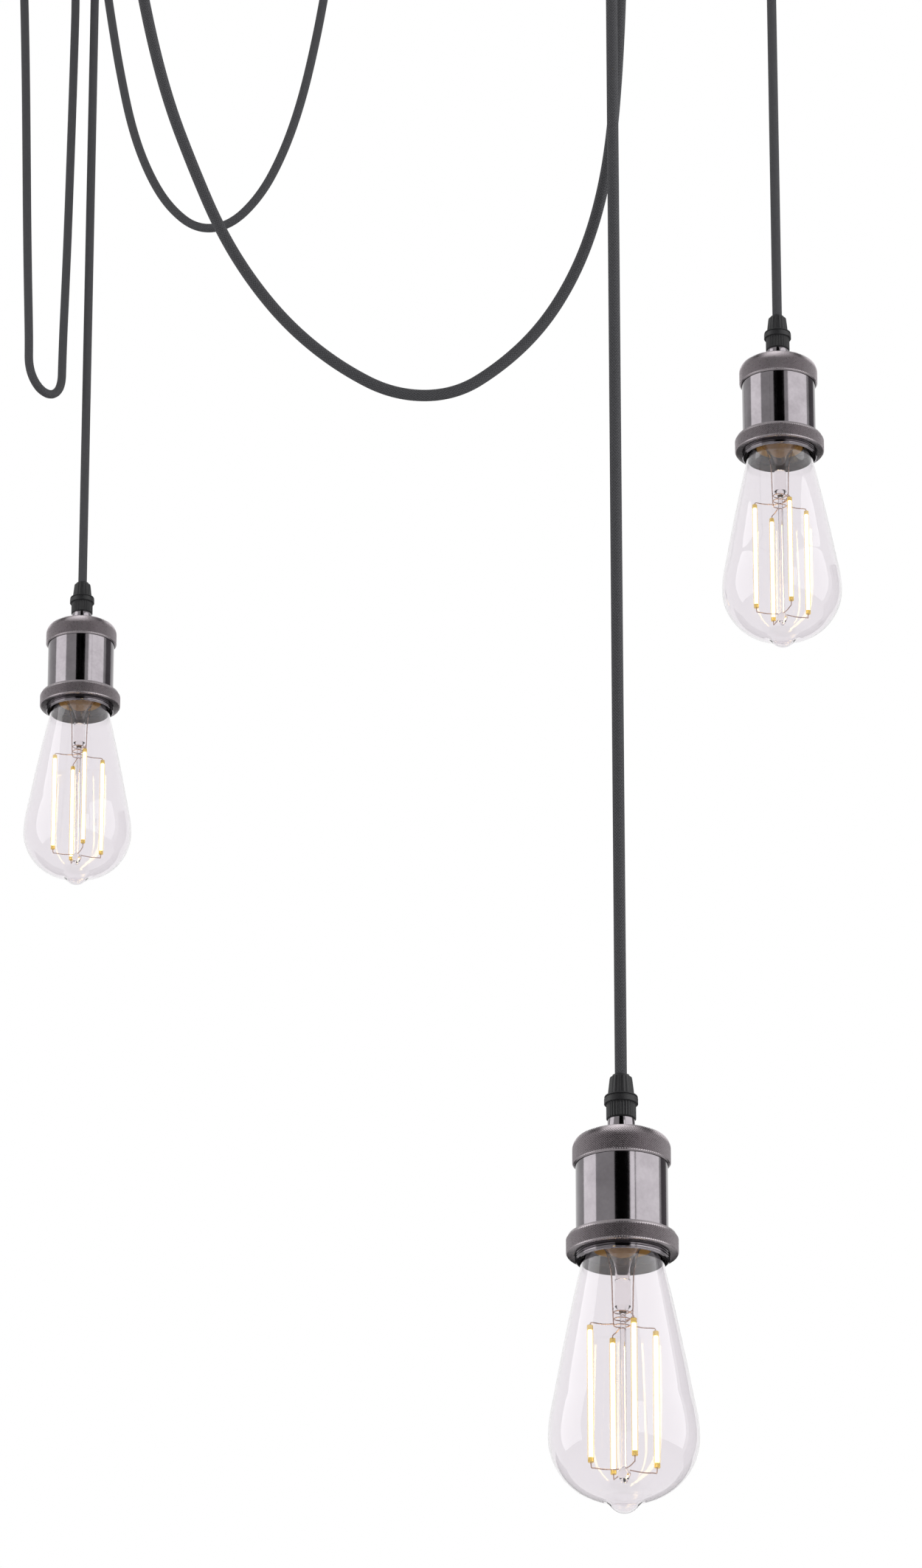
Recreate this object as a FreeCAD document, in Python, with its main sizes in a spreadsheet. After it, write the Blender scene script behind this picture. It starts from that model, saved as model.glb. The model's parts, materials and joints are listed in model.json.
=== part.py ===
import FreeCAD, Part
import math
import os
import Sketcher

# Cluster pendant: three bulb holders that hang on textile cords from one ceiling canopy.
# Millimetres. The origin is the middle of the canopy on the ceiling, +Z is up, so the
# whole pendant hangs below z = 0 and only the hooks' screw shanks stand above it.

Vector = FreeCAD.Vector
doc = FreeCAD.newDocument("ClusterPendant")

# ---------------------------------------------------------------- driving dimensions
SIZES = [
    # ceiling canopy
    ("canopy_r", 50), ("canopy_drop", 25), ("canopy_wall", 1.2), ("exit_circle_r", 33),
    ("exit_hole_r", 5.1), ("strap_width", 20), ("strap_thick", 1.5), ("strap_drop", 12),
    ("slot_spacing", 60), ("slot_width", 4.4), ("slot_length", 12),
    ("supply_hole_r", 6), ("side_screw_r", 1.6), ("side_screw_head_r", 3.2),
    ("side_screw_head_tall", 1.8), ("side_screw_length", 6), ("side_hole_clear", 0.2),
    ("terminal_long", 30), ("terminal_wide", 18), ("terminal_tall", 13), ("terminal_bore_r", 1.7),
    ("terminal_bore_up", 4), ("terminal_pitch", 9), ("exit_grip_length", 22),
    ("exit_spigot_tall", 5), ("exit_nut_top", 4), ("exit_flange_low", 6), ("exit_body_low", 11),
    ("canopy_edge", 3), ("bracket_reach", 46.5), ("cut_over", 1),
    # ceiling hooks
    ("hook_wire_r", 3), ("hook_bowl_r", 10), ("hook_drop", 44), ("hook_flange_r", 8),
    ("hook_flange_thick", 3), ("hook_shank_r", 2.4), ("hook_shank_length", 24),
    # cord
    ("cord_r", 2.6), ("seat_gap", 0.3), ("swing_gap", 0.7),
    # where the three lamps hang: axis and the lower face of the shade ring
    ("left_x", 27), ("left_y", 62), ("left_face", -550),
    ("centre_x", 323), ("centre_y", -1033), ("centre_face", -1257),
    ("right_x", 426), ("right_y", -393), ("right_face", -591),
    # hooks that only carry a cord past, by the middle of their wire
    ("pass_x", 186), ("pass_y", -41), ("near_x", 57), ("near_y", -1015.3),
    # lamp holder, heights above the shade ring's lower face
    ("barrel_r", 19.7), ("barrel_wall", 0.9), ("barrel_low", -2.9),
    ("ring_over", 4.3), ("ring_r", "=barrel_r + ring_over"), ("ring_lip", 1),
    ("ring_lip_r", "=ring_r - ring_lip"), ("ring_straight", 7.7), ("ring_top", 8.7),
    ("ring_edge", 0.5), ("ring_clear", 0.1),
    ("thread_top", 8), ("thread_pitch", 1.15), ("thread_depth", 0.5),
    ("ridge_start", 0.35), ("ridge_slope", 0.25), ("ridge_crest", 0.2),
    ("cap_low", 40.1), ("cap_over", 1.4), ("cap_rim_r", "=barrel_r + cap_over"),
    ("cap_rim_top", 47), ("cap_top", 55), ("cap_shoulder_in", 2.2),
    ("cap_shoulder_r", "=barrel_r - cap_shoulder_in"), ("cap_shoulder_top", 52.2),
    ("cap_shoulder_bow", 5.5),
    ("cap_edge", 0.8), ("cap_crown_r", 8.5), ("cap_bow", 40), ("cap_wall", 1.2),
    ("fit_gap", 0.1), ("barrel_lap", 6), ("tube_r", 5), ("tube_bore_r", 3.2), ("collar_r", 5.45),
    ("collar_tall", 5.6), ("tube_up", 4), ("tube_below", 1), ("lock_nut_r", 8),
    ("lock_nut_tall", 2.5),
    # cord grip on top of the holder
    ("grip_body_r", 6.4), ("grip_body_tall", 6.9), ("grip_flange_r", 7.3),
    ("grip_flange_tall", 3.8), ("grip_nut_low_r", 5.75), ("grip_nut_top_r", 4.8),
    ("grip_nut_tall", 9.5), ("grip_spigot_r", 4.1), ("grip_spigot_tall", 7.5),
    ("cord_hole_clear", 0.15),
    # socket insert
    ("insert_low", 1), ("insert_top", 42), ("insert_bore_r", 15.2), ("insert_floor", 34.5),
    ("insert_mouth", 6), ("mouth_rim", 0.7),
    ("insert_mouth_r", "=barrel_r - barrel_wall - fit_gap - mouth_rim"),
    ("shell_gap", 0.3), ("shell_low", 6.5),
    ("shell_top", 33), ("contact_tall", 0.8), ("contact_post_r", 1.5), ("contact_r", 4),
    ("terminal_screw_r", 2), ("terminal_screw_x", 9), ("terminal_screw_tall", 2.2),
    ("groove_half", 0.95), ("groove_foot", 2.15), ("groove_over", 0.5),
    # bulb cap and its round thread
    ("bulb_root_r", 12.15), ("bulb_crest_r", 13.1), ("bulb_pitch", 3.629),
    ("bulb_cap_low", 5.1), ("bulb_cap_top", 26), ("bulb_cap_wall", 0.8), ("bulb_end_tall", 3),
    ("bulb_end_r", 9), ("bulb_end_top_r", 6.5), ("bulb_pip_r", 4.2), ("bulb_pip_top_r", 3.2),
    ("bulb_pip_tall", 1.2), ("thread_clear", 0.3), ("bulb_ridge_half", 0.65),
    ("bulb_ridge_foot", 1.7), ("bulb_ridge_sunk", 0.3),
    # bulb glass, heights below the ring face are negative
    ("glass_r", 32), ("glass_wall", 0.8), ("glass_neck_r", 18.3), ("glass_neck_z", -7),
    ("glass_root_r", 11.2), ("glass_root_z", 5), ("glass_root_top", 8), ("glass_neck_bow", 16),
    ("glass_side_bow", 1300), ("glass_belly_r", 30), ("glass_belly_z", -64.9),
    ("glass_belly_bow", 65), ("glass_wide_z", -80.2), ("glass_corner_bow", 27.4),
    ("glass_base_bow", 38.5), ("glass_tip_top_r", 8), ("glass_tip_low_r", 5.9),
    ("glass_tip_z", -111.1), ("glass_tip_tall", 2.7),
    # inside the bulb
    ("stem_flare_gap", 0.2), ("stem_top", 4.6), ("stem_r", 3.4), ("stem_shoulder", -12),
    ("stem_low", -24), ("stem_taper", 3), ("stem_rod_r", 1.2), ("stem_rod_low", -100),
    ("stem_hub_r", 2.6), ("stem_hub_z", -96), ("stem_hub_half", 1),
    ("filament_circle_r", 14.6), ("filament_turn", 16.7), ("filament_r", 1.15),
    ("filament_top", -35), ("filament_low", -90), ("filament_end", 3), ("filament_end_r", 1.3),
    ("filament_end_over", 0.5), ("lead_r", 0.3), ("riser_r", 0.24),
    ("lead_top", -31.5), ("lead_low", -95), ("wire_r", 0.8), ("wire_spread", 1.3),
    ("wire_straight", 2.2),
]
sheet = doc.addObject("Spreadsheet::Sheet", "sizes")
for row, (alias, number) in enumerate(SIZES, start=1):
    sheet.set("A%d" % row, alias)
    sheet.set("B%d" % row, str(number))
    sheet.setAlias("B%d" % row, alias)
doc.recompute()


def value(formula):
    """Number of a formula written with the sheet's aliases."""
    result = sheet.evalExpression(formula)
    return float(getattr(result, "Value", result))


def bound(formula):
    """The same formula as other objects have to write it."""
    words = sorted((alias for alias, number in SIZES), key=len, reverse=True)
    text = ""
    position = 0
    while position < len(formula):
        match = next((word for word in words if formula.startswith(word, position)), None)
        if match:
            text += "sizes." + match
            position += len(match)
        else:
            text += formula[position]
            position += 1
    return text


# ---------------------------------------------------------------- building blocks
sub_parts = []


def finished(piece, label):
    piece.Label = label
    sub_parts.append(piece)
    return piece


def placed(piece, x="0", y="0", z="0", axis=(0, 0, 1), angle=0):
    piece.Placement = FreeCAD.Placement(Vector(0, 0, 0), FreeCAD.Rotation(Vector(*axis), angle))
    piece.setExpression("Placement.Base.x", bound(x))
    piece.setExpression("Placement.Base.y", bound(y))
    piece.setExpression("Placement.Base.z", bound(z))
    return piece


def origin_plane(body, role):
    return next(feature for feature in body.Origin.OriginFeatures if feature.Role == role)


def arc_between(start, end, radius, side):
    """Arc from start to end that bulges to the left (side 1) or right (side -1) of that way."""
    chord = end.sub(start)
    across = Vector(-chord.y, chord.x, 0).normalize().multiply(side)
    half = chord.Length / 2
    rise = radius - math.sqrt(radius ** 2 - half ** 2)
    middle = start.add(end).multiply(0.5).add(across.multiply(rise))
    return Part.Arc(start, middle, end)


def outline_sketch(body, name, corners):
    """Closed outline on the XZ plane. A corner holds formulas for its radius and height, and
    where the edge after it is an arc, also the arc's radius and the side it bulges to."""
    sketch = body.newObject("Sketcher::SketchObject", name)
    sketch.AttachmentSupport = [(origin_plane(body, "XZ_Plane"), "")]
    sketch.MapMode = "FlatFace"
    spots = [Vector(value(corner[0]), value(corner[1]), 0) for corner in corners]
    count = len(corners)
    ends = []
    for index, corner in enumerate(corners):
        start, end = spots[index], spots[(index + 1) % count]
        if len(corner) == 2:
            sketch.addGeometry(Part.LineSegment(start, end))
            ends.append((1, 2))
        else:
            sketch.addGeometry(arc_between(start, end, value(corner[2]), corner[3]))
            ends.append((1, 2) if corner[3] < 0 else (2, 1))
    for index in range(count):
        after = (index + 1) % count
        sketch.addConstraint(Sketcher.Constraint("Coincident", index, ends[index][1],
                                                 after, ends[after][0]))
    for index, corner in enumerate(corners):
        first = ends[index][0]
        across = sketch.addConstraint(
            Sketcher.Constraint("DistanceX", index, first, spots[index].x))
        sketch.setExpression("Constraints[%d]" % across, bound(corner[0]))
        upward = sketch.addConstraint(
            Sketcher.Constraint("DistanceY", index, first, spots[index].y))
        sketch.setExpression("Constraints[%d]" % upward, bound(corner[1]))
        if len(corner) > 2:
            round_size = sketch.addConstraint(
                Sketcher.Constraint("Radius", index, value(corner[2])))
            sketch.setExpression("Constraints[%d]" % round_size, bound(corner[2]))
    return sketch


def turned(name, corners, place):
    """A body turned about its own Z axis."""
    body = doc.addObject("PartDesign::Body", name)
    sketch = outline_sketch(body, name + "_outline", corners)
    turn = body.newObject("PartDesign::Revolution", name + "_turn")
    turn.Profile = (sketch, [""])
    turn.ReferenceAxis = (sketch, ["V_Axis"])
    turn.Angle = 360
    sketch.Visibility = False
    placed(body, *place)
    return body


def screw_thread(body, kind, name, corners, pitch, rise):
    """A right-hand helical ridge (AdditiveHelix) or groove (SubtractiveHelix) on a body."""
    sketch = outline_sketch(body, name + "_profile", corners)
    thread = body.newObject("PartDesign::" + kind, name)
    thread.Profile = (sketch, [""])
    thread.ReferenceAxis = (sketch, ["V_Axis"])
    thread.Mode = "pitch-height-angle"
    thread.LeftHanded = False
    thread.Angle = 0
    thread.setExpression("Pitch", bound(pitch))
    thread.setExpression("Height", bound(rise))
    sketch.Visibility = False
    return thread


def cylinder(name, radius, height, x="0", y="0", z="0", axis=(0, 0, 1), angle=0):
    piece = doc.addObject("Part::Cylinder", name)
    piece.setExpression("Radius", bound(radius))
    piece.setExpression("Height", bound(height))
    return placed(piece, x, y, z, axis, angle)


def block(name, long, wide, tall, x="0", y="0", z="0"):
    piece = doc.addObject("Part::Box", name)
    piece.setExpression("Length", bound(long))
    piece.setExpression("Width", bound(wide))
    piece.setExpression("Height", bound(tall))
    return placed(piece, x, y, z)


def ball(name, radius, x="0", y="0", z="0"):
    piece = doc.addObject("Part::Sphere", name)
    piece.setExpression("Radius", bound(radius))
    return placed(piece, x, y, z)


def fused(name, pieces):
    whole = doc.addObject("Part::MultiFuse", name)
    whole.Shapes = pieces
    whole.Refine = True
    return whole


def cut(name, base, tools):
    tool = tools[0] if len(tools) == 1 else fused(name + "_tools", tools)
    result = doc.addObject("Part::Cut", name)
    result.Base = base
    result.Tool = tool
    return result


def group(name, pieces):
    """Separate solids of one kind kept together in one sub-part."""
    whole = doc.addObject("Part::Compound", name)
    whole.Links = pieces
    return whole


# ---------------------------------------------------------------- cords
def rounded_path(points):
    """Straight runs joined by tangent arcs, each as large as its two runs allow."""
    share = 0.45
    edges = []
    radii = []
    start = points[0]
    for before, corner, after in zip(points, points[1:], points[2:]):
        back = before.sub(corner)
        ahead = after.sub(corner)
        trim = share * min(back.Length, ahead.Length)
        half_turn = (math.pi - back.getAngle(ahead)) / 2
        radius = trim / math.tan(half_turn)
        radii.append(radius)
        into = corner.add(Vector(back).normalize().multiply(trim))
        out = corner.add(Vector(ahead).normalize().multiply(trim))
        inward = Vector(back).normalize().add(Vector(ahead).normalize()).normalize()
        to_middle = radius / math.cos(half_turn) - radius
        middle = corner.add(inward.multiply(to_middle))
        edges.append(Part.LineSegment(start, into).toShape())
        edges.append(Part.Arc(into, middle, out).toShape())
        start = out
    edges.append(Part.LineSegment(start, points[-1]).toShape())
    return Part.Wire(edges), radii


def tube_along(name, points, radius):
    """A round solid swept along the rounded path through the points."""
    path, radii = rounded_path([Vector(*point) for point in points])
    ahead = path.Edges[0].tangentAt(path.Edges[0].FirstParameter)
    section = Part.Wire([Part.makeCircle(radius, Vector(*points[0]), ahead)])
    feature = doc.addObject("Part::Feature", name)
    feature.Shape = path.makePipeShell([section], True, False)
    feature.Placement = FreeCAD.Placement()
    return feature, path.Length, radii


def cord_tube(name, points):
    """One tube of cord along a free route; prints its radii and compares its volume."""
    radius = value("cord_r")
    tube, length, radii = tube_along(name, points, radius)
    expected = math.pi * radius ** 2 * length
    print("%s: length %.0f, tightest radius %.1f, volume / section x length %.4f"
          % (name, length, min(radii), tube.Shape.Volume / expected))
    print("   radii", " ".join("%.0f" % each for each in radii))
    return finished(tube, name)


seat = value("cord_r + hook_wire_r + seat_gap")
hook_z = -value("hook_drop")
exit_z = -value("canopy_drop + exit_grip_length")
exit_r = value("exit_circle_r")
exit_turn = {"left": 120, "right": 0, "centre": 240}


def exit_point(side):
    turn = math.radians(exit_turn[side])
    return (exit_r * math.cos(turn), exit_r * math.sin(turn), exit_z)


def over_hook(x, y, along, last=False):
    """The corners of a cord that comes up on one side of a hook's wire and goes over it."""
    dx, dy = along[0] * seat, along[1] * seat
    top = hook_z + seat
    corners = [(x - dx, y - dy, top), (x + dx, y + dy, top)]
    if last:
        corners.append((x + dx, y + dy, hook_z - seat))
    return corners


left = (value("left_x"), value("left_y"))
centre = (value("centre_x"), value("centre_y"))
right = (value("right_x"), value("right_y"))
swag_y = centre[1] + 2 * seat

left_route = [
    exit_point("left"), (-14.5, 28.8, -91), (-12.4, 29.2, -146), (-10.9, 29.8, -197),
    (-9.6, 30.4, -243), (-8.4, 31, -279), (-7.4, 31.5, -305), (-6.8, 32, -323),
    (-6.6, 32.3, -340.4), (-1.1, 40.3, -350), (6.5, 51.6, -350),
    (11.9, 59.5, -340.4), (12, 59.6, -323), (12.2, 59.8, -305), (12.7, 60.4, -280),
    (13.4, 61, -243), (14, 61.4, -198), (14.6, 61.6, -148), (15, 61.9, -104), (15.2, 62, -70),
] + over_hook(left[0] - seat, left[1], (1, 0), last=True)

right_route = [
    exit_point("right"), (33.9, -0.3, -67), (36.7, -1.5, -92), (41.1, -3, -122),
    (46.9, -4.5, -158), (55.2, -6, -199), (66.1, -9, -231), (78.9, -13, -255), (95.9, -18, -272),
    (115.8, -23, -272), (133.8, -28, -255), (146.9, -32, -230), (157.9, -35, -197),
    (167, -37, -154), (174, -39, -110), (179.3, -40.5, -70),
] + over_hook(value("pass_x"), value("pass_y"), (1, 0)) + [
    (193.5, -43, -62), (203.5, -58.3, -84), (223.5, -91, -108), (254.3, -140, -134),
    (287, -191, -149), (319, -243, -149), (352, -294, -134), (383, -343, -108),
    (404, -376.7, -84), (413, -391, -62),
] + over_hook(right[0] - seat, right[1], (1, 0), last=True)

centre_route = [
    exit_point("centre"), (-16, -31, -63), (-14, -45, -80), (-11, -78, -96), (-8, -129, -118),
    (-3, -190, -144), (2, -260, -167), (8, -334, -188), (13, -409, -202), (19, -485, -209),
    (24, -560, -209), (30, -636, -202), (35, -711, -187), (41, -786, -166), (46, -860, -139),
    (51, -920, -112), (54, -965, -90), (56, -997, -70),
] + over_hook(value("near_x"), value("near_y"), (0, -1)) + [
    (57.4, swag_y, -62), (59, swag_y, -105), (62.1, swag_y, -162), (66.1, swag_y, -227),
    (71.1, swag_y, -295), (76.6, swag_y, -362), (82.6, swag_y, -429), (89.1, swag_y, -495),
    (96.2, swag_y, -558), (103.8, swag_y, -616), (112, swag_y, -663), (121.7, swag_y, -703),
    (133.4, swag_y, -736), (146.1, swag_y, -768), (160.8, swag_y, -794), (178.6, swag_y, -817),
    (200.3, swag_y, -836), (225, swag_y, -850), (251.7, swag_y, -850), (273.4, swag_y, -835),
    (291.2, swag_y, -816), (305, swag_y, -792), (314.8, swag_y, -765), (321.7, swag_y, -732),
    (325.5, swag_y, -690), (327.9, swag_y, -639), (328.5, swag_y, -575), (328.3, swag_y, -506),
    (327.8, swag_y, -437), (327, swag_y, -368), (326.1, swag_y, -300), (325, swag_y, -232),
    (324.2, swag_y, -165), (323.6, swag_y, -108), (323.3, swag_y, -68),
] + over_hook(centre[0], centre[1] + seat, (0, -1), last=True)


def drop_cord(side):
    top = "-hook_drop - cord_r - hook_wire_r - seat_gap - swing_gap"
    low = side + "_face + cap_top + collar_tall + grip_body_tall + grip_flange_tall + grip_nut_tall"
    cord = cylinder(side + "_drop_cord", "cord_r", "%s - (%s)" % (top, low),
                    side + "_x", side + "_y", low)
    return finished(cord, side + "_drop_cord")


# ---------------------------------------------------------------- ceiling canopy
def canopy_cup():
    cup = turned("canopy_shell", [
        ("canopy_r - canopy_wall", "0"), ("canopy_r", "0"),
        ("canopy_r", "canopy_edge - canopy_drop"), ("canopy_r - canopy_edge", "-canopy_drop"),
        ("0", "-canopy_drop"), ("0", "canopy_wall - canopy_drop"),
        ("canopy_r - canopy_edge", "canopy_wall - canopy_drop"),
        ("canopy_r - canopy_wall", "canopy_edge - canopy_drop + canopy_wall"),
    ], ("0", "0", "0"))
    holes = []
    for side, turn in exit_turn.items():
        holes.append(cylinder("exit_hole_" + side, "exit_hole_r", "canopy_wall + 2 * cut_over",
                              "exit_circle_r * cos(%d)" % turn, "exit_circle_r * sin(%d)" % turn,
                              "-canopy_drop - cut_over"))
    for sign in (1, -1):
        holes.append(cylinder("side_hole", "side_screw_r + side_hole_clear",
                              "canopy_wall + 2 * cut_over",
                              "%d * (canopy_r - canopy_wall - cut_over)" % sign, "0",
                              "-strap_drop / 2", (0, 1, 0), 90 * sign))
    return finished(cut("canopy_cup_cut", cup, holes), "canopy_cup")


def canopy_bracket():
    """Flat strap with two slots, the supply hole and a tapped tab bent down at each end."""
    through = "strap_thick + 2 * cut_over"
    under = "-strap_thick - cut_over"
    pieces = [block("strap", "2 * bracket_reach", "strap_width", "strap_thick",
                    "-bracket_reach", "-strap_width / 2", "-strap_thick")]
    tools = [cylinder("supply_hole", "supply_hole_r", through, z=under)]
    for sign in (1, -1):
        tab_start = "bracket_reach - strap_thick" if sign > 0 else "-bracket_reach"
        pieces.append(block("strap_tab", "strap_thick", "strap_width / 2", "strap_drop",
                            tab_start, "-strap_width / 4", "-strap_drop"))
        middle = "%d * slot_spacing / 2" % sign
        half = "(slot_length - slot_width) / 2"
        tools.append(block("slot", "slot_length - slot_width", "slot_width", through,
                           middle + " - " + half, "-slot_width / 2", under))
        for end in ("+", "-"):
            tools.append(cylinder("slot_end", "slot_width / 2", through,
                                  middle + " " + end + " " + half, "0", under))
        tools.append(cylinder("tapped_hole", "side_screw_r + fit_gap / 2", through,
                              "%d * (bracket_reach - strap_thick - cut_over)" % sign, "0",
                              "-strap_drop / 2", (0, 1, 0), 90 * sign))
    return finished(cut("canopy_bracket_cut", fused("strap_fused", pieces), tools),
                    "canopy_bracket")


def canopy_screws():
    screws = []
    for sign in (1, -1):
        start = "%d * (canopy_r + fit_gap)" % sign
        shaft = cylinder("side_screw_shaft", "side_screw_r", "side_screw_length",
                         start, "0", "-strap_drop / 2", (0, 1, 0), -90 * sign)
        head = cylinder("side_screw_head", "side_screw_head_r", "side_screw_head_tall",
                        start, "0", "-strap_drop / 2", (0, 1, 0), 90 * sign)
        screws.append(fused("side_screw", [shaft, head]))
    return finished(group("canopy_screw_pair", screws), "canopy_screws")


def canopy_grips():
    """Three strain reliefs, each with its lock nut inside the canopy."""
    bore = "cord_r + cord_hole_clear"
    nut_low = "canopy_wall + fit_gap / 2"
    grips = []
    for side, turn in exit_turn.items():
        x, y = "exit_circle_r * cos(%d)" % turn, "exit_circle_r * sin(%d)" % turn
        grips.append(turned("exit_grip_" + side, [
            (bore, "exit_spigot_tall"), ("tube_r", "exit_spigot_tall"),
            ("tube_r", "exit_nut_top"), ("lock_nut_r", "exit_nut_top"), ("lock_nut_r", nut_low),
            ("tube_r", nut_low), ("tube_r", "-fit_gap / 2"), ("grip_flange_r", "-fit_gap / 2"),
            ("grip_flange_r", "-exit_flange_low"), ("grip_body_r", "-exit_flange_low"),
            ("grip_body_r", "-exit_body_low"), ("grip_nut_low_r", "-exit_body_low"),
            ("grip_nut_top_r", "-exit_grip_length"), (bore, "-exit_grip_length"),
        ], (x, y, "-canopy_drop")))
    return finished(group("canopy_grip_set", grips), "canopy_grips")


def terminal_block():
    body = block("terminal_body", "terminal_long", "terminal_wide", "terminal_tall - strap_thick",
                 "-terminal_long / 2", "-terminal_wide / 2", "-terminal_tall")
    bores = []
    for index in (-1, 0, 1):
        bores.append(cylinder("terminal_bore", "terminal_bore_r", "terminal_wide + 2 * cut_over",
                              "%d * terminal_pitch" % index, "terminal_wide / 2 + cut_over",
                              "terminal_bore_up - terminal_tall", (1, 0, 0), 90))
    return finished(cut("terminal_block_cut", body, bores), "terminal_block")


def ceiling_hook(label, x, y, turn):
    """Screw shank, flange and a wire bent round in three quarters of a circle."""
    bowl_z = "hook_bowl_r - hook_drop"
    top_z = "2 * hook_bowl_r - hook_drop"
    shank = cylinder("shank", "hook_shank_r", "hook_shank_length", x, y, "0")
    flange = cylinder("flange", "hook_flange_r", "hook_flange_thick", x, y, "-hook_flange_thick")
    neck = cylinder("neck", "hook_wire_r", "-(%s) - hook_flange_thick / 2" % top_z, x, y, top_z)
    bend = doc.addObject("Part::Torus", "bend")
    bend.setExpression("Radius1", bound("hook_bowl_r"))
    bend.setExpression("Radius2", bound("hook_wire_r"))
    bend.Angle3 = 270
    upright = FreeCAD.Rotation(Vector(0, 0, 1), turn).multiply(
        FreeCAD.Rotation(Vector(1, 0, 0), 90)).multiply(FreeCAD.Rotation(Vector(0, 0, 1), -180))
    placed(bend, x, y, bowl_z)
    bend.Placement = FreeCAD.Placement(bend.Placement.Base, upright)
    side_x = "hook_bowl_r * cos(%d)" % turn
    side_y = "hook_bowl_r * sin(%d)" % turn
    tip = ball("tip", "hook_wire_r", x + " - " + side_x, y + " - " + side_y, bowl_z)
    elbow = ball("elbow", "hook_wire_r", x, y, top_z)
    hook = fused(label + "_fused", [shank, flange, neck, bend, tip, elbow])
    return finished(hook, label)


# ---------------------------------------------------------------- lamp holder
def lamp_place(side, lift="0"):
    return (side + "_x", side + "_y", side + "_face + " + lift)


def shade_ring(side):
    bore = "barrel_r + thread_depth + ring_clear"
    return finished(turned(side + "_ring_body", [
        (bore, "0"), ("ring_r - ring_edge", "0"), ("ring_r", "ring_edge"),
        ("ring_r", "ring_straight"),
        ("ring_lip_r", "ring_top"), (bore, "ring_top")], lamp_place(side)), side + "_shade_ring")


def barrel(side):
    """Smooth shell whose lower end carries the ring's thread."""
    inner = "barrel_r - barrel_wall"
    corners = [(inner, "barrel_low"), ("barrel_r", "barrel_low")]
    ridges = int(round(value("(thread_top - barrel_low) / thread_pitch"))) - 1
    for index in range(ridges):
        step = "barrel_low + (%d + ridge_start) * thread_pitch" % index
        rise = "ridge_slope * thread_pitch"
        crest = "ridge_crest * thread_pitch"
        corners.append(("barrel_r", step))
        corners.append(("barrel_r + thread_depth", step + " + " + rise))
        corners.append(("barrel_r + thread_depth", step + " + " + rise + " + " + crest))
        corners.append(("barrel_r", step + " + 2 * " + rise + " + " + crest))
    top = "cap_low + barrel_lap"
    corners += [("barrel_r", top), (inner, top)]
    return finished(turned(side + "_barrel_body", corners, lamp_place(side)), side + "_barrel")


def shell_cap(side):
    inner = "barrel_r + fit_gap"
    return finished(turned(side + "_cap_body", [
        (inner, "cap_low"), ("cap_rim_r - cap_edge", "cap_low"),
        ("cap_rim_r", "cap_low + cap_edge"),
        ("cap_rim_r", "cap_rim_top", "cap_shoulder_bow", -1),
        ("cap_shoulder_r", "cap_shoulder_top", "cap_bow", -1), ("cap_crown_r", "cap_top"),
        ("tube_r + fit_gap", "cap_top"), ("tube_r + fit_gap", "cap_top - cap_wall"),
        ("cap_crown_r", "cap_top - cap_wall", "cap_bow - cap_wall", 1),
        ("cap_shoulder_r", "cap_shoulder_top - cap_wall", "cap_shoulder_bow - cap_wall", 1),
        (inner, "cap_rim_top"),
    ], lamp_place(side)), side + "_shell_cap")


def neck_tube(side):
    """Hollow threaded nipple with its collar, and the lock nut inside the cap."""
    nut_top = "cap_top - cap_wall - fit_gap / 2"
    nut_low = nut_top + " - lock_nut_tall"
    tube = turned(side + "_tube_body", [
        ("tube_bore_r", nut_low + " - tube_below"), ("tube_r", nut_low + " - tube_below"),
        ("tube_r", "cap_top"),
        ("collar_r", "cap_top"), ("collar_r", "cap_top + collar_tall"),
        ("tube_r", "cap_top + collar_tall"), ("tube_r", "cap_top + collar_tall + tube_up"),
        ("tube_bore_r", "cap_top + collar_tall + tube_up"),
    ], ("0", "0", "0"))
    hexagon = doc.addObject("Part::Prism", side + "_nut_hexagon")
    hexagon.Polygon = 6
    hexagon.setExpression("Circumradius", bound("lock_nut_r"))
    hexagon.setExpression("Height", bound("lock_nut_tall"))
    placed(hexagon, z=nut_low)
    bore = cylinder(side + "_nut_bore", "tube_r + fit_gap / 2", "lock_nut_tall + 2 * cut_over",
                    z=nut_low + " - cut_over")
    nut = cut(side + "_lock_nut", hexagon, [bore])
    return finished(placed(group(side + "_neck_group", [tube, nut]), *lamp_place(side)),
                    side + "_neck_tube")


def grip_body(side):
    """Ribbed lower part, flange and the clamping spigot inside the nut."""
    low = "cap_top + collar_tall"
    shoulder = low + " + grip_body_tall"
    flange = shoulder + " + grip_flange_tall"
    cord_bore = "cord_r + cord_hole_clear"
    return finished(turned(side + "_grip_turned", [
        ("tube_r + fit_gap / 2", low), ("grip_body_r", low), ("grip_body_r", shoulder),
        ("grip_flange_r", shoulder), ("grip_flange_r", flange), ("grip_spigot_r", flange),
        ("grip_spigot_r", flange + " + grip_spigot_tall"),
        (cord_bore, flange + " + grip_spigot_tall"),
        (cord_bore, low + " + tube_up + fit_gap"), ("tube_r + fit_gap / 2",
                                                   low + " + tube_up + fit_gap"),
    ], lamp_place(side)), side + "_grip_body")


def grip_nut(side):
    low = "cap_top + collar_tall + grip_body_tall + grip_flange_tall + fit_gap / 2"
    top = "cap_top + collar_tall + grip_body_tall + grip_flange_tall + grip_nut_tall"
    ceiling = low + " + grip_spigot_tall + 2 * fit_gap"
    return finished(turned(side + "_nut_turned", [
        ("grip_spigot_r + fit_gap", low), ("grip_nut_low_r", low), ("grip_nut_top_r", top),
        ("cord_r + cord_hole_clear", top), ("cord_r + cord_hole_clear", ceiling),
        ("grip_spigot_r + fit_gap", ceiling),
    ], lamp_place(side)), side + "_grip_nut")


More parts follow.
